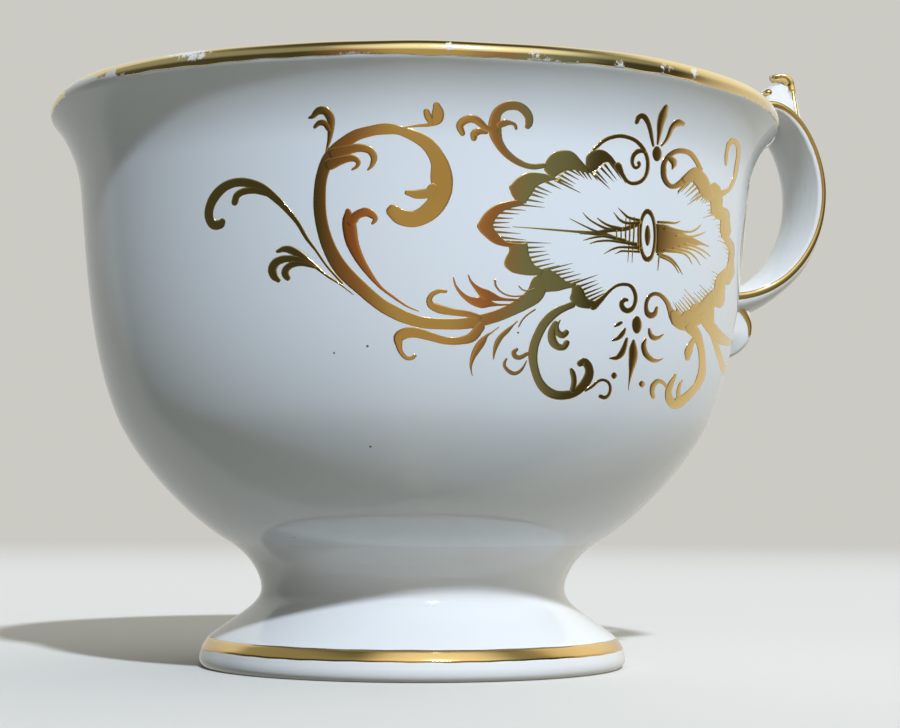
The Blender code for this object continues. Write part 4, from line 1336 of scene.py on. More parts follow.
RIGHT_STROKES = {
    0.15: (RIGHT_LOWER_SCROLL, RIGHT_SCROLL_FINGER, RIGHT_SCROLL_LEAF, RIGHT_LOW_HOOK, RIGHT_TENDRIL),
    0.25: (
        RIGHT_TOP_VOLUTE, RIGHT_VOLUTE_COMMA, RIGHT_TOP_PETAL, RIGHT_LOW_VOLUTE, RIGHT_LOW_FLAME,
        RIGHT_LOW_PETAL,
    ),
    0.1: (*RIGHT_FAN, *RIGHT_SHELL),
}
SCROLL_STROKES = {
    0.2: (C_SCROLL, SCROLL_TOOTH, TOP_SPRIG, TOP_SPRIG_LOBE, CREST_HOOK_ONE, CREST_HOOK_TWO),
    0.9: (INNER_HOOK, INNER_HOOK_CURL),
}

# Ovals: across, up, half width, half height and how coppery
EYE_RING = (*EYE, 1.25, 3.65, 0.1)
SHELL_OVALS = (
    (*EYE, 0.46, 1.45, 0.1), (*TOP_OVAL, 0.7, 1.05, 0.3), (*LOW_OVAL, 0.72, 1.2, 0.3),
    (13.75, 43.85, 0.15, 0.15, 0.3), (26.55, 38.2, 0.45, 0.45, 0.3), (30.25, 37.1, 0.45, 0.45, 0.3),
)


@dataclass
class GiltDrawing:
    """A flat drawing in gold film: across, lift off the glaze and up, like a stencil."""

    step: float = 0.22
    weight: float = 1.1
    finest: float = 0.06
    edge_lift: float = -0.012
    film: float = 0.012
    dome: float = 0.008
    # Films of seven heights, so that strokes that cross don't share one skin
    layer: float = 0.002
    layers: int = 7
    mesh_width: float = 0.7
    least_half: int = 2
    crowding: float = 1.6
    wear: float = 0.06
    edge_wear: float = 0.1
    edge_power: int = 3
    cap_angles: Row = (78.0, 55.0, 30.0)
    oval_reach: float = 0.97
    oval_steps: int = 14
    ring_steps: int = 40
    ring_width: float = 0.5
    ring_swell: float = 0.3
    ring_power: int = 6
    lobe_stretch: float = 1.3
    flat: Shape = field(default_factory=Shape)
    strokes: int = 0

    def height(self) -> float:
        """Returns: the film's height for the next stroke."""
        self.strokes += 1
        return self.film + self.layer * (self.strokes % self.layers)

    def panel(self, left: Array, right: Array, copper: float) -> None:
        """A film between two edges that run side by side.

        Args:
            left: places of one edge.
            right: places of the other.
            copper: how coppery its gold is.
        """
        widest = float(np.max(np.linalg.norm(right - left, axis=1)))
        half = max(int(math.ceil(widest / self.mesh_width)), self.least_half)
        share = np.linspace(-1.0, 1.0, 2 * half + 1)
        share = np.sign(share) * (1.0 - (1.0 - np.abs(share)) ** self.crowding)
        lift = self.height() + self.dome * (1.0 - share**2)
        lift[[0, -1]] = self.edge_lift
        mix = (share[None, :, None] + 1.0) / 2.0
        places = left[:, None, :] * (1.0 - mix) + right[:, None, :] * mix
        rise = np.tile(lift, (len(left), 1))
        rise[[0, -1]] = self.edge_lift
        corners = np.stack((places[..., 0], rise, places[..., 1]), axis=-1).reshape(-1, 3)
        faces = grid_faces(len(left), len(share), False)
        wear = self.wear + self.edge_wear * np.tile(np.abs(share) ** self.edge_power, len(left))
        self.flat.add(corners, faces, copper=copper, wear=wear)

    def stroke(self, points: Points, copper: float) -> None:
        """One brush stroke with rounded ends.

        Args:
            points: across, up and width along the stroke.
            copper: how coppery its gold is.
        """
        line = flowing(points, self.step)
        line[:, 2] = np.maximum(line[:, 2] * self.weight, self.finest)
        ahead = headings(line[:, :2])
        caps = np.radians(self.cap_angles)
        ends = []
        for end, way in ((line[0], -ahead[0]), (line[-1], ahead[-1])):
            places = end[:2] + np.outer(np.sin(caps), way) * end[2] / 2
            ends.append(np.column_stack((places, end[2] * np.cos(caps))))
        whole = np.vstack((ends[0], line, ends[1][::-1]))
        steady = np.pad(ahead, ((len(caps), len(caps)), (0, 0)), mode="edge")
        normal = leftward(steady) * whole[:, 2:] / 2
        self.panel(whole[:, :2] + normal, whole[:, :2] - normal, copper)

    def oval(self, measures: Row) -> None:
        """A filled oval.

        Args:
            measures: its middle across and up, half its width and height, how coppery its gold is.
        """
        across, up, half_width, half_height, copper = measures
        turn = np.linspace(-self.oval_reach, self.oval_reach, self.oval_steps + 1) * math.pi / 2
        rise = up + half_height * np.sin(turn)
        reach = half_width * np.cos(turn)
        left, right = (np.column_stack((across + side * reach, rise)) for side in (-1.0, 1.0))
        self.panel(left, right, copper)

    def ring(self, measures: Row) -> None:
        """An oval ring, thicker at its top and foot.

        Args:
            measures: its middle across and up, half its width and height, how coppery its gold is.
        """
        across, up, half_width, half_height, copper = measures
        turn = np.linspace(0.0, math.tau, self.ring_steps + 1)
        width = self.ring_width + self.ring_swell * np.sin(turn) ** self.ring_power
        side = across + (half_width - width / 2) * np.cos(turn)
        rise = up + (half_height - width / 2) * np.sin(turn)
        self.stroke(np.column_stack((side, rise, width)), copper)

    def strokes_of(self, groups: dict[float, tuple[Points, ...]]) -> None:
        """All strokes of some groups.

        Args:
            groups: strokes by how coppery their gold is.
        """
        for copper, members in groups.items():
            for points in members:
                self.stroke(points, copper)

    def lobe(self, lobe: Lobe) -> None:
        """The filled part of a shell lobe.

        Args:
            lobe: its edges.
        """
        outer = flowing(lobe.outer, self.step * self.lobe_stretch)
        inner = flowing(lobe.inner, self.step)
        share = np.linspace(0.0, 1.0, len(outer))
        known = np.linspace(0.0, 1.0, len(inner))
        matched = np.column_stack([np.interp(share, known, column) for column in inner.T])
        self.panel(outer, matched, lobe.copper)


@dataclass(frozen=True)
class Tint:
    """A colour as written."""

    red: float
    green: float
    blue: float

    def rgba(self) -> Row:
        """Returns: the colour with full cover."""
        return self.red, self.green, self.blue, 1.0


class Layout:
    """Lays nodes in a tree and joins them."""

    def __init__(self, tree: NodeTree) -> None:
        """Work in a tree."""
        self.tree = tree

    def face(self, name: str, kind: str, is_input: bool) -> None:
        """Put a named socket of a kind on the tree itself, as an input or else an output."""
        way = "INPUT" if is_input else "OUTPUT"
        self.tree.interface.new_socket(name, in_out=way, socket_type=f"NodeSocket{kind}")

    def feed(self, socket: Socket, value: object) -> None:
        """Feed an input.

        Args:
            socket: the input.
            value: a socket to join to it, a tint or a plain value.
        """
        if isinstance(value, Socket):
            self.tree.links.new(value, socket)
        else:
            socket.default_value = value.rgba() if isinstance(value, Tint) else value

    def add(self, kind: str, inputs: dict[str | int, object] | None = None, **settings: object) -> Node:
        """One node.

        Args:
            kind: its type.
            inputs: values or sockets for its inputs, by name or by place.
            settings: its own settings.
        Returns: the node.
        """
        node = self.tree.nodes.new(kind)
        for name, value in settings.items():
            setattr(node, name, value)
        for name, value in (inputs or {}).items():
            if isinstance(name, int):
                socket = node.inputs[name]
            else:
                socket = next(s for s in node.inputs if s.name == name and s.enabled)
            self.feed(socket, value)
        return node

    def group(self, tree: NodeTree, *values: float) -> Sequence[Socket]:
        """A shared effect put in a material.

        Args:
            tree: the effect.
            values: its inputs in order.
        Returns: its outputs.
        """
        node = self.add("ShaderNodeGroup", node_tree=tree)
        for socket, value in zip(node.inputs, values):
            socket.default_value = value
        return node.outputs

    def painted(self, name: str) -> Socket:
        """Returns: a painted value by name."""
        return self.add("ShaderNodeAttribute", attribute_name=name).outputs["Fac"]

    def mixed(self, share: Socket, first: object, second: object, blend: str = "MIX") -> Socket:
        """Two colours mixed by a share.

        Args:
            share: how much of the second.
            first: a tint or a colour socket.
            second: a tint or a colour socket.
            blend: how they mix.
        Returns: the mixed colour.
        """
        inputs = {MIX_SHARE: share, MIX_FIRST: first, MIX_SECOND: second}
        node = self.add("ShaderNodeMix", inputs, data_type="RGBA", blend_type=blend)
        return node.outputs[MIX_RESULT]

    def ranged(self, value: Socket, span: Row, result: Row, ease: bool = False) -> Socket:
        """A value carried from one range to another.

        Args:
            value: the value.
            span: where it starts and ends.
            result: what it becomes there.
            ease: ease in and out, else straight.
        Returns: the carried value.
        """
        inputs = {"Value": value, "From Min": span[0], "From Max": span[1]}
        inputs.update({"To Min": result[0], "To Max": result[1]})
        kind = "SMOOTHSTEP" if ease else "LINEAR"
        return self.add("ShaderNodeMapRange", inputs, interpolation_type=kind).outputs["Result"]

    def vector(self, operation: str, first: object, second: object = None) -> Node:
        """Returns: the node of a sum with one or two vectors, each a socket or plain."""
        inputs = {0: first} if second is None else {0: first, 1: second}
        return self.add("ShaderNodeVectorMath", inputs, operation=operation)


def comb_tree() -> NodeTree:
    """Returns: a tree that lays a tapering gold hair from each point to the tip stored with it."""
    tree = bpy.data.node_groups.new("gilt_comb", "GeometryNodeTree")
    lay = Layout(tree)
    for name, kind in COMB_INPUTS.items():
        lay.face(name, kind, True)
    lay.face("Geometry", "Geometry", False)
    source = lay.add("NodeGroupInput").outputs
    hair = lay.add("GeometryNodeMeshCone", HAIR_CONE)
    along = lay.add("GeometryNodeTransform", {
        "Geometry": hair.outputs["Mesh"], "Rotation": (0.0, math.pi / 2, 0.0),
    })
    tip = lay.add("GeometryNodeInputNamedAttribute", {"Name": HAIR_TIP}, data_type="FLOAT_VECTOR")
    place = lay.add("GeometryNodeInputPosition")
    reach = lay.vector("SUBTRACT", tip.outputs["Attribute"], place.outputs["Position"]).outputs["Vector"]
    length = lay.vector("LENGTH", reach).outputs["Value"]
    turn = lay.add("FunctionNodeAlignRotationToVector", {"Vector": reach}, axis="X", pivot_axis="Y")
    sizes = {"X": length, "Y": source[HAIR_HEIGHT], "Z": source[HAIR_WIDTH]}
    size = lay.add("ShaderNodeCombineXYZ", sizes)
    laid = lay.add("GeometryNodeInstanceOnPoints", {
        "Points": source["Geometry"], "Instance": along.outputs["Geometry"],
        "Rotation": turn.outputs["Rotation"], "Scale": size.outputs["Vector"],
    })
    real = lay.add("GeometryNodeRealizeInstances", {"Geometry": laid.outputs["Instances"]})
    dressed = lay.add("GeometryNodeSetMaterial", {
        "Geometry": real.outputs["Geometry"], "Material": source[GOLD],
    })
    lay.add("NodeGroupOutput", {"Geometry": dressed.outputs["Geometry"]})
    return tree


@dataclass
class GiltFoliage:
    """The gilt shell, its scrolls and leaves, carried from the flat drawing to the bowl's wall."""

    wall: BowlWall
    sight: PhotoSight
    gold: Material
    hair_width: float = 0.42
    hair_height: float = 0.022
    hair_tone: GoldTone = GoldTone(0.15, 0.0)
    search_reach: float = 60.0
    search_steps: int = 44
    unrolled_radius: float = 43.5
    far_rise: float = 0.03
    rise_from: float = -14.0
    rise_over: float = 10.0
    low_spread: float = 0.14
    far_copper: float = 0.3

    def to_wall(self, flat: Array) -> Array:
        """Carry drawn places along the line of sight to the wall.

        Args:
            flat: across, lift and up of each place.
        Returns: angle, height and lift of each.
        """
        eye = self.sight.eye()
        ray = np.outer(flat[:, 0], self.sight.right()) + np.outer(flat[:, 2], UP) - eye
        near = np.full(len(flat), 1.0 - self.search_reach / self.sight.distance)
        far = np.ones(len(flat))
        for _ in range(self.search_steps):
            middle = (near + far) / 2
            spot = eye + ray * middle[:, None]
            outside = np.hypot(spot[:, 0], spot[:, 1]) > self.wall.radius_at(spot[:, 2])
            near = np.where(outside, middle, near)
            far = np.where(outside, far, middle)
        spot = eye + ray * near[:, None]
        return np.column_stack((np.arctan2(spot[:, 1], spot[:, 0]), spot[:, 2], flat[:, 1]))

    def reflected(self, places: Array) -> Array:
        """The mirror image about the shell's own leaning axis on the unrolled wall.

        Args:
            places: angle, height and lift.
        Returns: the mirrored places.
        """
        unrolled = (self.unrolled_radius, 1.0)
        marks = np.array([(across, 0.0, up) for across, up in (LOW_OVAL, TOP_OVAL, EYE)])
        low, top, eye = self.to_wall(marks)[:, :2] * unrolled
        axis = (top - low) / np.linalg.norm(top - low)
        flat = places[:, :2] * unrolled - low
        turned_over = 2 * np.outer(flat @ axis, axis) - flat + low
        along, above = (turned_over - eye).T
        upper = np.clip((above - self.rise_from) / self.rise_over, 0.0, 1.0)
        hand = np.column_stack((self.low_spread * np.maximum(-above, 0.0), self.far_rise * along * upper))
        return np.column_stack(((turned_over + hand) / unrolled, places[:, 2]))

    def on_wall(self, places: Array) -> Array:
        """Places on the wall as points.

        Args:
            places: angle, height and lift.
        Returns: points in the cup's frame.
        """
        angle, height, lift = places.T
        slope = self.wall.slope_at(height)
        tilt = 1.0 / np.hypot(1.0, slope)
        radius = self.wall.radius_at(height) + lift * tilt
        rise = height - lift * slope * tilt
        return self.wall.wavered(np.column_stack((radius * np.cos(angle), radius * np.sin(angle), rise)))

    def combs(self) -> Shape:
        """Returns: the combs of all shell lobes as a flat drawing, laid by the node tree."""
        hairs = np.array([hair for lobe in LOBES for hair in lobe.hairs])
        roots, tips = (np.insert(ends, 1, 0.0, axis=1) for ends in (hairs[:, :2], hairs[:, 2:]))
        piece = new_piece("comb_roots", roots, [])
        stored = piece.data.attributes.new(HAIR_TIP, "FLOAT_VECTOR", "POINT")
        stored.data.foreach_set("vector", tips.ravel())
        tree = comb_tree()
        modifier = piece.modifiers.new("combs", "NODES")
        modifier.node_group = tree
        wanted = {HAIR_WIDTH: self.hair_width, HAIR_HEIGHT: self.hair_height, GOLD: self.gold}
        for item in tree.interface.items_tree:
            if item.in_out == "INPUT" and item.name in wanted:
                modifier[item.identifier] = wanted[item.name]
        mesh = evaluated(piece)
        bpy.data.objects.remove(piece)
        return Shape().add(*mesh_arrays(mesh), **self.hair_tone.paint())

    def carried(self, drawing: Shape, mirror_too: bool, into: Shape) -> None:
        """Carry a flat drawing to the wall.

        Args:
            drawing: the flat drawing.
            mirror_too: lay its mirror image on the other half of the shell as well.
            into: the shape to add to.
        """
        places = self.to_wall(drawing.places())
        paint = drawing.painted()
        into.add(self.on_wall(places), drawing.faces, **paint)
        if mirror_too:
            paint["copper"] = paint["copper"] * self.far_copper
            into.add(self.on_wall(self.reflected(places)), drawing.faces, **paint)

    def shape(self) -> Shape:
        """Returns: the whole ornament of the front, as closed gold films on the wall."""
        single = GiltDrawing()
        for group in (FAR_STROKES, SHELL_STROKES, RIGHT_STROKES):
            single.strokes_of(group)
        single.ring(EYE_RING)
        for oval in SHELL_OVALS:
            single.oval(oval)
        single.lobe(RIGHT_FAN_BODY)
        double = GiltDrawing()
        double.strokes_of(SCROLL_STROKES)
        for lobe in LOBES:
            double.lobe(lobe)
        ornament = Shape()
        self.carried(single.flat, False, ornament)
        self.carried(double.flat, True, ornament)
        self.carried(self.combs(), True, ornament)
        return ornament


def uneven_group() -> NodeTree:
    """Returns: a shared effect that gives a slow and a fine unevenness at a place."""
    group = bpy.data.node_groups.new("uneven_glaze", "ShaderNodeTree")
    lay = Layout(group)
    for name in UNEVEN_DETAIL:
        lay.face(f"{name} Scale", "Float", True)
        lay.face(name, "Float", False)
    source = lay.add("NodeGroupInput")
    sink = lay.add("NodeGroupOutput")
    place = lay.add("ShaderNodeTexCoord").outputs["Object"]
    for name, detail in UNEVEN_DETAIL.items():
        scale = source.outputs[f"{name} Scale"]
        noise = lay.add("ShaderNodeTexNoise", {"Vector": place, "Scale": scale, "Detail": detail})
        lay.feed(sink.inputs[name], noise.outputs["Fac"])
    return group


def wear_group() -> NodeTree:
    """Returns: a shared effect that turns painted wear into ragged bare spots."""
    group = bpy.data.node_groups.new("worn_gilding", "ShaderNodeTree")
    lay = Layout(group)
    lay.face("Grain", "Float", True)
    lay.face("Bare", "Float", False)
    source = lay.add("NodeGroupInput")
    place = lay.add("ShaderNodeTexCoord").outputs["Object"]
    grain = {"Vector": place, "Scale": source.outputs["Grain"], **WEAR_NOISE}
    noise = lay.add("ShaderNodeTexNoise", grain)
    total = lay.add("ShaderNodeMath", {0: lay.painted("wear"), 1: noise.outputs["Fac"]}, operation="ADD")
    lay.add("NodeGroupOutput", {"Bare": lay.ranged(total.outputs["Value"], WEAR_BREAK, WHOLE)})
    return group


def started(name: str) -> tuple[Material, Layout, Node]:
    """A new material.

    Args:
        name: its name.
    Returns: the material, its layout and its shader.
    """
    material = bpy.data.materials.new(name)
    material.use_nodes = True
    return material, Layout(material.node_tree), material.node_tree.nodes["Principled BSDF"]


@dataclass(frozen=True)
class Finishes:
    """The finishes of the cup, built from two shared effects."""

    uneven: NodeTree
    worn: NodeTree
    porcelain_light: Tint = Tint(0.79, 0.80, 0.795)
    porcelain_deep: Tint = Tint(0.755, 0.765, 0.76)
    # Painted light: a lighter, bluer tint multiplied into the bowl's outer wall only, standing in for
    # cool light falling on it
    pooled_glaze: Tint = Tint(1.04, 1.095, 1.165)
    biscuit: Tint = Tint(0.62, 0.58, 0.52)
    speck: Tint = Tint(0.16, 0.13, 0.11)
    slip: Tint = Tint(0.79, 0.805, 0.81)
    gold_olive: Tint = Tint(0.64, 0.52, 0.22)
    gold_pale: Tint = Tint(0.86, 0.66, 0.30)
    gold_copper: Tint = Tint(0.80, 0.42, 0.18)
    gold_thin: Tint = Tint(0.93, 0.86, 0.60)
    glaze_to_biscuit: Pair = (0.07, 0.7)
    glaze_index: float = 1.5
    slip_roughness: Pair = (0.06, 0.16)
    gold_roughness: Pair = (0.06, 0.15)
    # Slow and fine unevenness of each finish, for each metre
    porcelain_scales: Pair = (38.0, 520.0)
    slip_scales: Pair = (60.0, 700.0)
    gold_scales: Pair = (120.0, 2600.0)
    wear_grain: float = 1300.0
    speck_scale: float = 105.0
    speck_edge: Pair = (0.02, 0.011)
    # Strength and depth of the ripple in the glaze and of the brush grain in the gold
    ripple: Pair = (0.25, 0.012)
    brush_grain: Pair = (0.2, 0.008)

    def embossed(self, lay: Layout, shader: Node, height: Socket, relief: Pair) -> None:
        """Give a shader a slight relief, by its height, strength and depth."""
        inputs = {"Height": height, "Strength": relief[0], "Distance": relief[1] * MM}
        lay.feed(shader.inputs["Normal"], lay.add("ShaderNodeBump", inputs).outputs["Normal"])

    def porcelain(self) -> Material:
        """Returns: glazed porcelain with pin specks, bare where it was painted so, with painted light
        that makes the bowl's outer wall lighter and bluer.
        """
        material, lay, shader = started("glazed_porcelain")
        slow = lay.group(self.uneven, *self.porcelain_scales)["Slow"]
        place = lay.add("ShaderNodeTexCoord").outputs["Object"]
        cells = lay.add("ShaderNodeTexVoronoi", {"Vector": place, "Scale": self.speck_scale})
        pin = lay.ranged(cells.outputs["Distance"], self.speck_edge, WHOLE)
        bare = lay.painted("bare")
        tone = lay.mixed(slow, self.porcelain_deep, self.porcelain_light)
        # Painted light: the bowl's outer wall is multiplied lighter and bluer by its painted share
        tone = lay.mixed(lay.painted("pooled"), tone, self.pooled_glaze, "MULTIPLY")
        tone = lay.mixed(pin, tone, self.speck)
        lay.feed(shader.inputs["Base Color"], lay.mixed(bare, tone, self.biscuit))
        lay.feed(shader.inputs["Roughness"], lay.ranged(bare, WHOLE, self.glaze_to_biscuit))
        lay.feed(shader.inputs["IOR"], self.glaze_index)
        self.embossed(lay, shader, slow, self.ripple)
        return material

    def fired_slip(self) -> Material:
        """Returns: the slip that lutes the pieces, under the same glaze."""
        material, lay, shader = started("glazed_slip")
        wave = lay.group(self.uneven, *self.slip_scales)
        lay.feed(shader.inputs["Base Color"], lay.mixed(wave["Slow"], self.porcelain_deep, self.slip))
        lay.feed(shader.inputs["Roughness"], lay.ranged(wave["Fine"], WHOLE, self.slip_roughness))
        return material

    def gold(self) -> Material:
        """Returns: burnished gold from olive to copper, worn through to the porcelain in places."""
        material, lay, shader = started("burnished_gilding")
        wave = lay.group(self.uneven, *self.gold_scales)
        bare = lay.group(self.worn, self.wear_grain)["Bare"]
        tone = lay.mixed(wave["Slow"], self.gold_olive, self.gold_pale)
        tone = lay.mixed(lay.painted("copper"), tone, self.gold_copper)
        tone = lay.mixed(lay.painted("thin"), tone, self.gold_thin)
        lay.feed(shader.inputs["Base Color"], lay.mixed(bare, tone, self.porcelain_light))
        lay.feed(shader.inputs["Metallic"], lay.ranged(bare, WHOLE, WHOLE[::-1]))
        lay.feed(shader.inputs["Roughness"], lay.ranged(wave["Fine"], WHOLE, self.gold_roughness))
        self.embossed(lay, shader, wave["Fine"], self.brush_grain)
        return material


@dataclass(frozen=True)
class PhotoSight:
    """The photo's point of view, fitted to the cup's outline."""

    distance: float = 262.0
    turn: float = -14.0
    eye_height: float = 20.95
    pitch: float = 4.07
    yaw: float = math.degrees(0.018)
    roll: float = 0.3
    lens: float = 79.12
    sensor: float = 36.0
    clip: Pair = (0.01, 20.0)

    def right(self) -> Array:
        """Returns: the level direction to the right of the line of sight through the axis."""
        turn = math.radians(self.turn)
        return np.array((math.cos(turn), math.sin(turn), 0.0))

    def ahead(self) -> Array:
        """Returns: the level direction from the eye to the axis."""
        turn = math.radians(self.turn)
        return np.array((-math.sin(turn), math.cos(turn), 0.0))

    def eye(self) -> Array:
        """Returns: the eye's place in the cup's frame."""
        return UP * self.eye_height - self.ahead() * self.distance

    def camera(self, axis: float) -> None:
        """Stand the camera at the eye.

        Args:
            axis: X of the cup's axis in metres.
        """
        yaw, pitch, roll = (math.radians(angle) for angle in (self.yaw, self.pitch, self.roll))
        ahead = self.ahead() * math.cos(yaw) + self.right() * math.sin(yaw)
        right = self.right() * math.cos(yaw) - self.ahead() * math.sin(yaw)
        forward = ahead * math.cos(pitch) + UP * math.sin(pitch)
        level = UP * math.cos(pitch) - ahead * math.sin(pitch)
        side = right * math.cos(roll) + level * math.sin(roll)
        top = level * math.cos(roll) - right * math.sin(roll)
        place = self.eye() * MM + (axis, 0.0, 0.0)
        data = bpy.data.cameras.new("photo_camera")
        data.sensor_width = self.sensor
        data.lens = self.lens
        data.clip_start, data.clip_end = self.clip
        camera = bpy.data.objects.new("photo_camera", data)
        columns = np.column_stack((side, top, -forward, place))
        camera.matrix_world = Matrix(np.vstack((columns, (0.0, 0.0, 0.0, 1.0))).tolist())
        bpy.context.scene.collection.objects.link(camera)
        bpy.context.scene.camera = camera


@dataclass(frozen=True)
class Studio:
    """A pale floor, a high soft key from the front right, and a room that is lighter on the right."""

    sight: PhotoSight
    floor_tint: Tint = Tint(0.76, 0.74, 0.69)
    floor_bounce: Tint = Tint(0.25, 0.235, 0.19)
    floor_radius: float = 4.0
    floor_sides: int = 96
    floor_roughness: float = 0.8
    floor_gloss: float = 0.1
    floor_fade: Pair = (0.25, 0.9)
    backdrop: Tint = Tint(0.60, 0.59, 0.55)
    key_tint: Tint = Tint(0.90, 1.0, 1.16)
    key_height: float = 44.5
    key_turn: float = 17.5
    key_strength: float = 2.64
    key_angle: float = 3.2
    # The fill from left to right, and how much more of it comes from behind the cup
    fill_dark: Tint = Tint(0.075, 0.088, 0.093)
    fill_light: Tint = Tint(0.72, 0.71, 0.66)
    fill_reach: Pair = (-0.75, 1.0)
    back_gain: float = 1.2
    back_reach: Pair = (0.1, -0.9)
    # What the gold mirrors: a glow round the key, a lift high up, a dark zenith
    glow: Tint = Tint(1.12, 1.12, 1.0)
    glow_reach: Pair = (40.0, 13.0)
    high_lift: Tint = Tint(0.24, 0.25, 0.20)
    lift_reach: Pair = (0.1, 0.45)
    zenith: Tint = Tint(0.07, 0.065, 0.035)
    zenith_reach: Pair = (0.72, 0.96)
    # Tones of the room: angle from the front, rightwards, then red, green and blue
    mirrored: Points = (
        (-180.0, 0.62, 0.61, 0.57), (-124.0, 0.5, 0.5, 0.47), (-116.0, 0.12, 0.12, 0.10),
        (-95.0, 0.07, 0.07, 0.05), (-34.0, 0.055, 0.055, 0.035), (-20.0, 0.25, 0.14, 0.08),
        (-6.0, 0.47, 0.38, 0.21), (12.0, 0.48, 0.38, 0.21), (26.0, 0.30, 0.19, 0.12),
        (38.0, 0.19, 0.24, 0.21), (52.0, 0.16, 0.18, 0.15), (62.0, 0.06, 0.06, 0.04),
        (84.0, 0.055, 0.05, 0.03), (88.0, 0.11, 0.088, 0.055), (92.0, 0.22, 0.175, 0.11),
        (96.0, 0.38, 0.32, 0.23), (100.0, 0.52, 0.46, 0.36), (108.0, 0.64, 0.59, 0.48),
        (120.0, 0.74, 0.70, 0.60), (140.0, 0.80, 0.76, 0.68), (180.0, 0.62, 0.61, 0.57),
    )

    def floor(self) -> None:
        """Lay the floor, which takes the backdrop's tone in the distance for the camera."""
        turn = np.linspace(0.0, math.tau, self.floor_sides, endpoint=False)
        ring = np.column_stack((np.cos(turn), np.sin(turn), np.zeros(len(turn)))) * self.floor_radius
        mesh = bpy.data.meshes.new("floor")
        mesh.from_pydata(ring.tolist(), [], [tuple(range(len(turn)))])
        floor = bpy.data.objects.new("floor", mesh)
        bpy.context.scene.collection.objects.link(floor)
        floor.visible_glossy = False
        material, lay, shader = started("pale_floor")
        shader.inputs["Roughness"].default_value = self.floor_roughness
        shader.inputs["Specular IOR Level"].default_value = self.floor_gloss
        seen = lay.add("ShaderNodeLightPath").outputs["Is Camera Ray"]
        lay.feed(shader.inputs["Base Color"], lay.mixed(seen, self.floor_bounce, self.floor_tint))
        glow = lay.add("ShaderNodeEmission", {"Color": self.backdrop, "Strength": 1.0})
        away = lay.vector("LENGTH", lay.add("ShaderNodeTexCoord").outputs["Object"])
        fade = lay.ranged(away.outputs["Value"], self.floor_fade, WHOLE, True)
        share = lay.add("ShaderNodeMath", {0: fade, 1: seen}, operation="MULTIPLY")
        inputs = {0: share.outputs["Value"], 1: shader.outputs["BSDF"], 2: glow.outputs["Emission"]}
        mix = lay.add("ShaderNodeMixShader", inputs)
        out = material.node_tree.nodes["Material Output"]
        lay.feed(out.inputs["Surface"], mix.outputs["Shader"])
        mesh.materials.append(material)

    def toward_key(self) -> Vector:
        """Returns: the direction from the cup to the key light."""
        rise = math.radians(self.key_height)
        turn = math.radians(self.key_turn)
        level = -self.sight.ahead() * math.cos(turn) + self.sight.right() * math.sin(turn)
        return Vector(level * math.cos(rise) + UP * math.sin(rise))

    def room(self) -> None:
        """Set the room: a soft fill that is lighter on the right, and the tones that the gold mirrors."""
        world = bpy.data.worlds.new("room")
        world.use_nodes = True
        bpy.context.scene.world = world
        lay = Layout(world.node_tree)
        way = lay.add("ShaderNodeTexCoord").outputs["Object"]
        rightward, frontward, keyward = (
            lay.vector("DOT_PRODUCT", way, tuple(toward)).outputs["Value"]
            for toward in (self.sight.right(), -self.sight.ahead(), self.toward_key())
        )
        share = lay.ranged(rightward, self.fill_reach, WHOLE, True)
        tone = lay.mixed(share, self.fill_dark, self.fill_light)
        gain = lay.ranged(frontward, self.back_reach, (1.0, 1.0 + self.back_gain), True)
        fill = lay.add("ShaderNodeVectorMath", {"Vector": tone, "Scale": gain}, operation="SCALE")
        turn = lay.add("ShaderNodeMath", {0: rightward, 1: frontward}, operation="ARCTAN2")
        around = lay.ranged(turn.outputs["Value"], (-math.pi, math.pi), WHOLE)
        ramp = lay.add("ShaderNodeValToRGB", {"Fac": around})
        stops = ramp.color_ramp.elements
        for index, (angle, *tint) in enumerate(self.mirrored):
            place = (angle + HALF_TURN) / FULL_TURN
            stop = stops[index] if index < 2 else stops.new(place)
            stop.position = place
            stop.color = (*tint, 1.0)
        rise = lay.add("ShaderNodeSeparateXYZ", {"Vector": way}).outputs["Z"]
        high = lay.ranged(rise, self.lift_reach, WHOLE, True)
        tone = lay.mixed(high, ramp.outputs["Color"], self.high_lift, "ADD")
        tone = lay.mixed(lay.ranged(rise, self.zenith_reach, WHOLE, True), tone, self.zenith)
        reach = tuple(math.cos(math.radians(angle)) for angle in self.glow_reach)
        tone = lay.mixed(lay.ranged(keyward, reach, WHOLE, True), tone, self.glow)
        path = lay.add("ShaderNodeLightPath").outputs
        tone = lay.mixed(path["Is Glossy Ray"], fill.outputs["Vector"], tone)
        tone = lay.mixed(path["Is Camera Ray"], tone, self.backdrop)
        lay.feed(world.node_tree.nodes["Background"].inputs["Color"], tone)

    def key(self) -> None:
        """Hang the key light."""
        data = bpy.data.lights.new("key", "SUN")
        data.energy = self.key_strength
        data.angle = math.radians(self.key_angle)
        data.color = self.key_tint.rgba()[:3]
        lamp = bpy.data.objects.new("key", data)
        toward = self.toward_key()
        lamp.rotation_mode = "QUATERNION"
        lamp.rotation_quaternion = toward.to_track_quat("Z", "Y")
        lamp.location = toward
        bpy.context.scene.collection.objects.link(lamp)

    def build(self) -> None:
        """Set the whole stage."""
        self.floor()
        self.room()
        self.key()
        bpy.context.scene.view_settings.view_transform = "Standard"


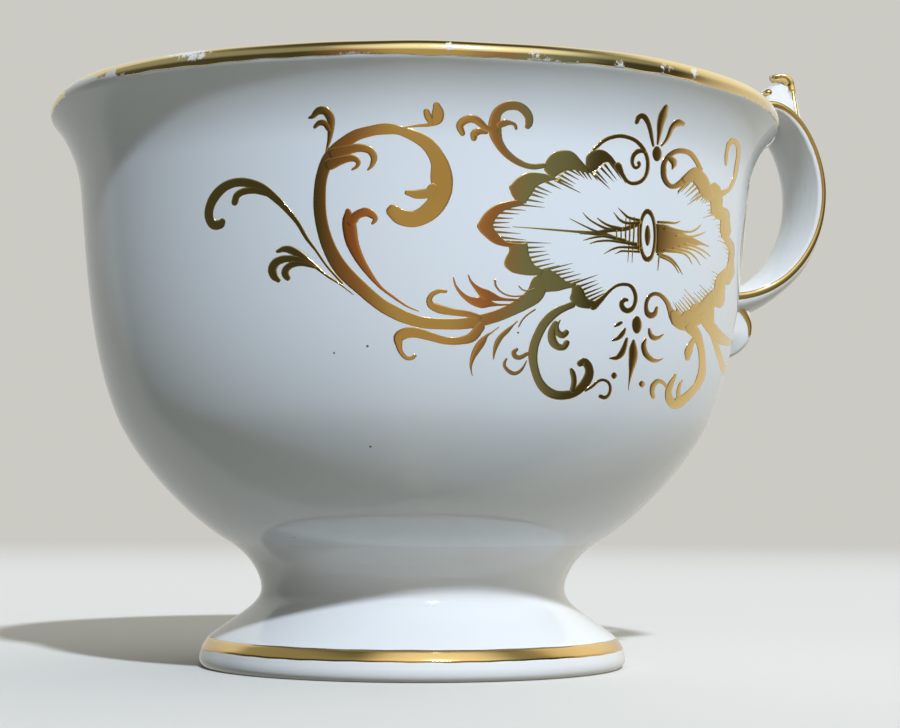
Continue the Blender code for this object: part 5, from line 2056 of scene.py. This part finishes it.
@dataclass
class FootedCup:
    """The whole dressed cup."""

    axis: float
    sight: PhotoSight = PhotoSight()
    wall: BowlWall = field(default_factory=BowlWall)
    foot: PedestalFoot = field(default_factory=PedestalFoot)
    materials: dict[Slot, Material] = field(default_factory=dict)

    def piece(self, name: str, shape: Shape, slot: Slot, *stands_for: str) -> None:
        """Make a piece and hang it on the part.

        Args:
            name: its name.
            shape: its corners, faces and paint.
            slot: the finish that it takes.
            stands_for: solids that it is shown instead of.
        """
        corners = shape.places() * MM + (self.axis, 0.0, 0.0)
        made = new_piece(name, corners, shape.faces)
        for label, values in shape.painted().items():
            layer = made.data.attributes.new(label, "FLOAT", "POINT")
            layer.data.foreach_set("value", values.astype(np.float32))
        made.data.shade_smooth()
        made.data.materials.append(self.materials[slot])
        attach(made, "root")
        if stands_for:
            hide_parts(*stands_for)
        LOG.info("%s: %d corners, %d faces", name, len(corners), len(shape.faces))

    def build(self) -> None:
        """Make every piece."""
        finishes = Finishes(uneven_group(), wear_group())
        self.materials = {
            Slot.PORCELAIN: finishes.porcelain(),
            Slot.SLIP: finishes.fired_slip(),
            Slot.GOLD: finishes.gold(),
        }
        handle = RibbonHandle(self.wall)
        self.piece("glazed_bowl", self.wall.shape(), Slot.PORCELAIN, "bowl")
        self.piece("glazed_foot", self.foot.shape(), Slot.PORCELAIN, "pedestal_foot")
        self.piece("glazed_handle", handle.shape(), Slot.PORCELAIN, "handle")
        bead = self.foot.slip_bead(self.wall)
        self.piece("neck_slip_bead", bead, Slot.SLIP, "foot_slip_joint")
        self.piece("handle_root_collar", handle.collar(True), Slot.SLIP, "handle_upper_slip_joint")
        footing = handle.collar(False)
        self.piece("handle_footing_collar", footing, Slot.SLIP, "handle_lower_slip_joint")
        facing = math.degrees(math.atan2(*self.sight.eye()[1::-1]))
        self.piece("rim_gilding", RimGilding(self.wall, facing).shape(), Slot.GOLD, "rim_gilt_band")
        self.piece("foot_gilding", FootGilding(self.foot).shape(), Slot.GOLD, "foot_gilt_band")
        for side in Side:
            name = side.name.lower()
            edge = handle.gilt_edge(side)
            self.piece(f"handle_edge_gilding_{name}", edge, Slot.GOLD, f"handle_gilt_edge_{name}")
        self.piece("handle_trim_gilding", handle.gilt_trim(), Slot.GOLD)
        front = GiltFoliage(self.wall, self.sight, self.materials[Slot.GOLD]).shape()
        back = Shape().add(front.places() * (1.0, -1.0, 1.0), front.faces, **front.painted())
        self.piece("gilt_foliage_front", front, Slot.GOLD)
        self.piece("gilt_foliage_back", back, Slot.GOLD)


def main() -> None:
    """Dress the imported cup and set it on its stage."""
    logging.basicConfig(level=logging.INFO, format="%(name)s %(message)s")
    for leftover in list(bpy.data.objects):
        bpy.data.objects.remove(leftover, do_unlink=True)
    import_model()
    low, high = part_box("bowl")
    cup = FootedCup(axis=(low.x + high.x) / 2)
    cup.build()
    Studio(cup.sight).build()
    cup.sight.camera(cup.axis)


if __name__ == "__main__":
    main()
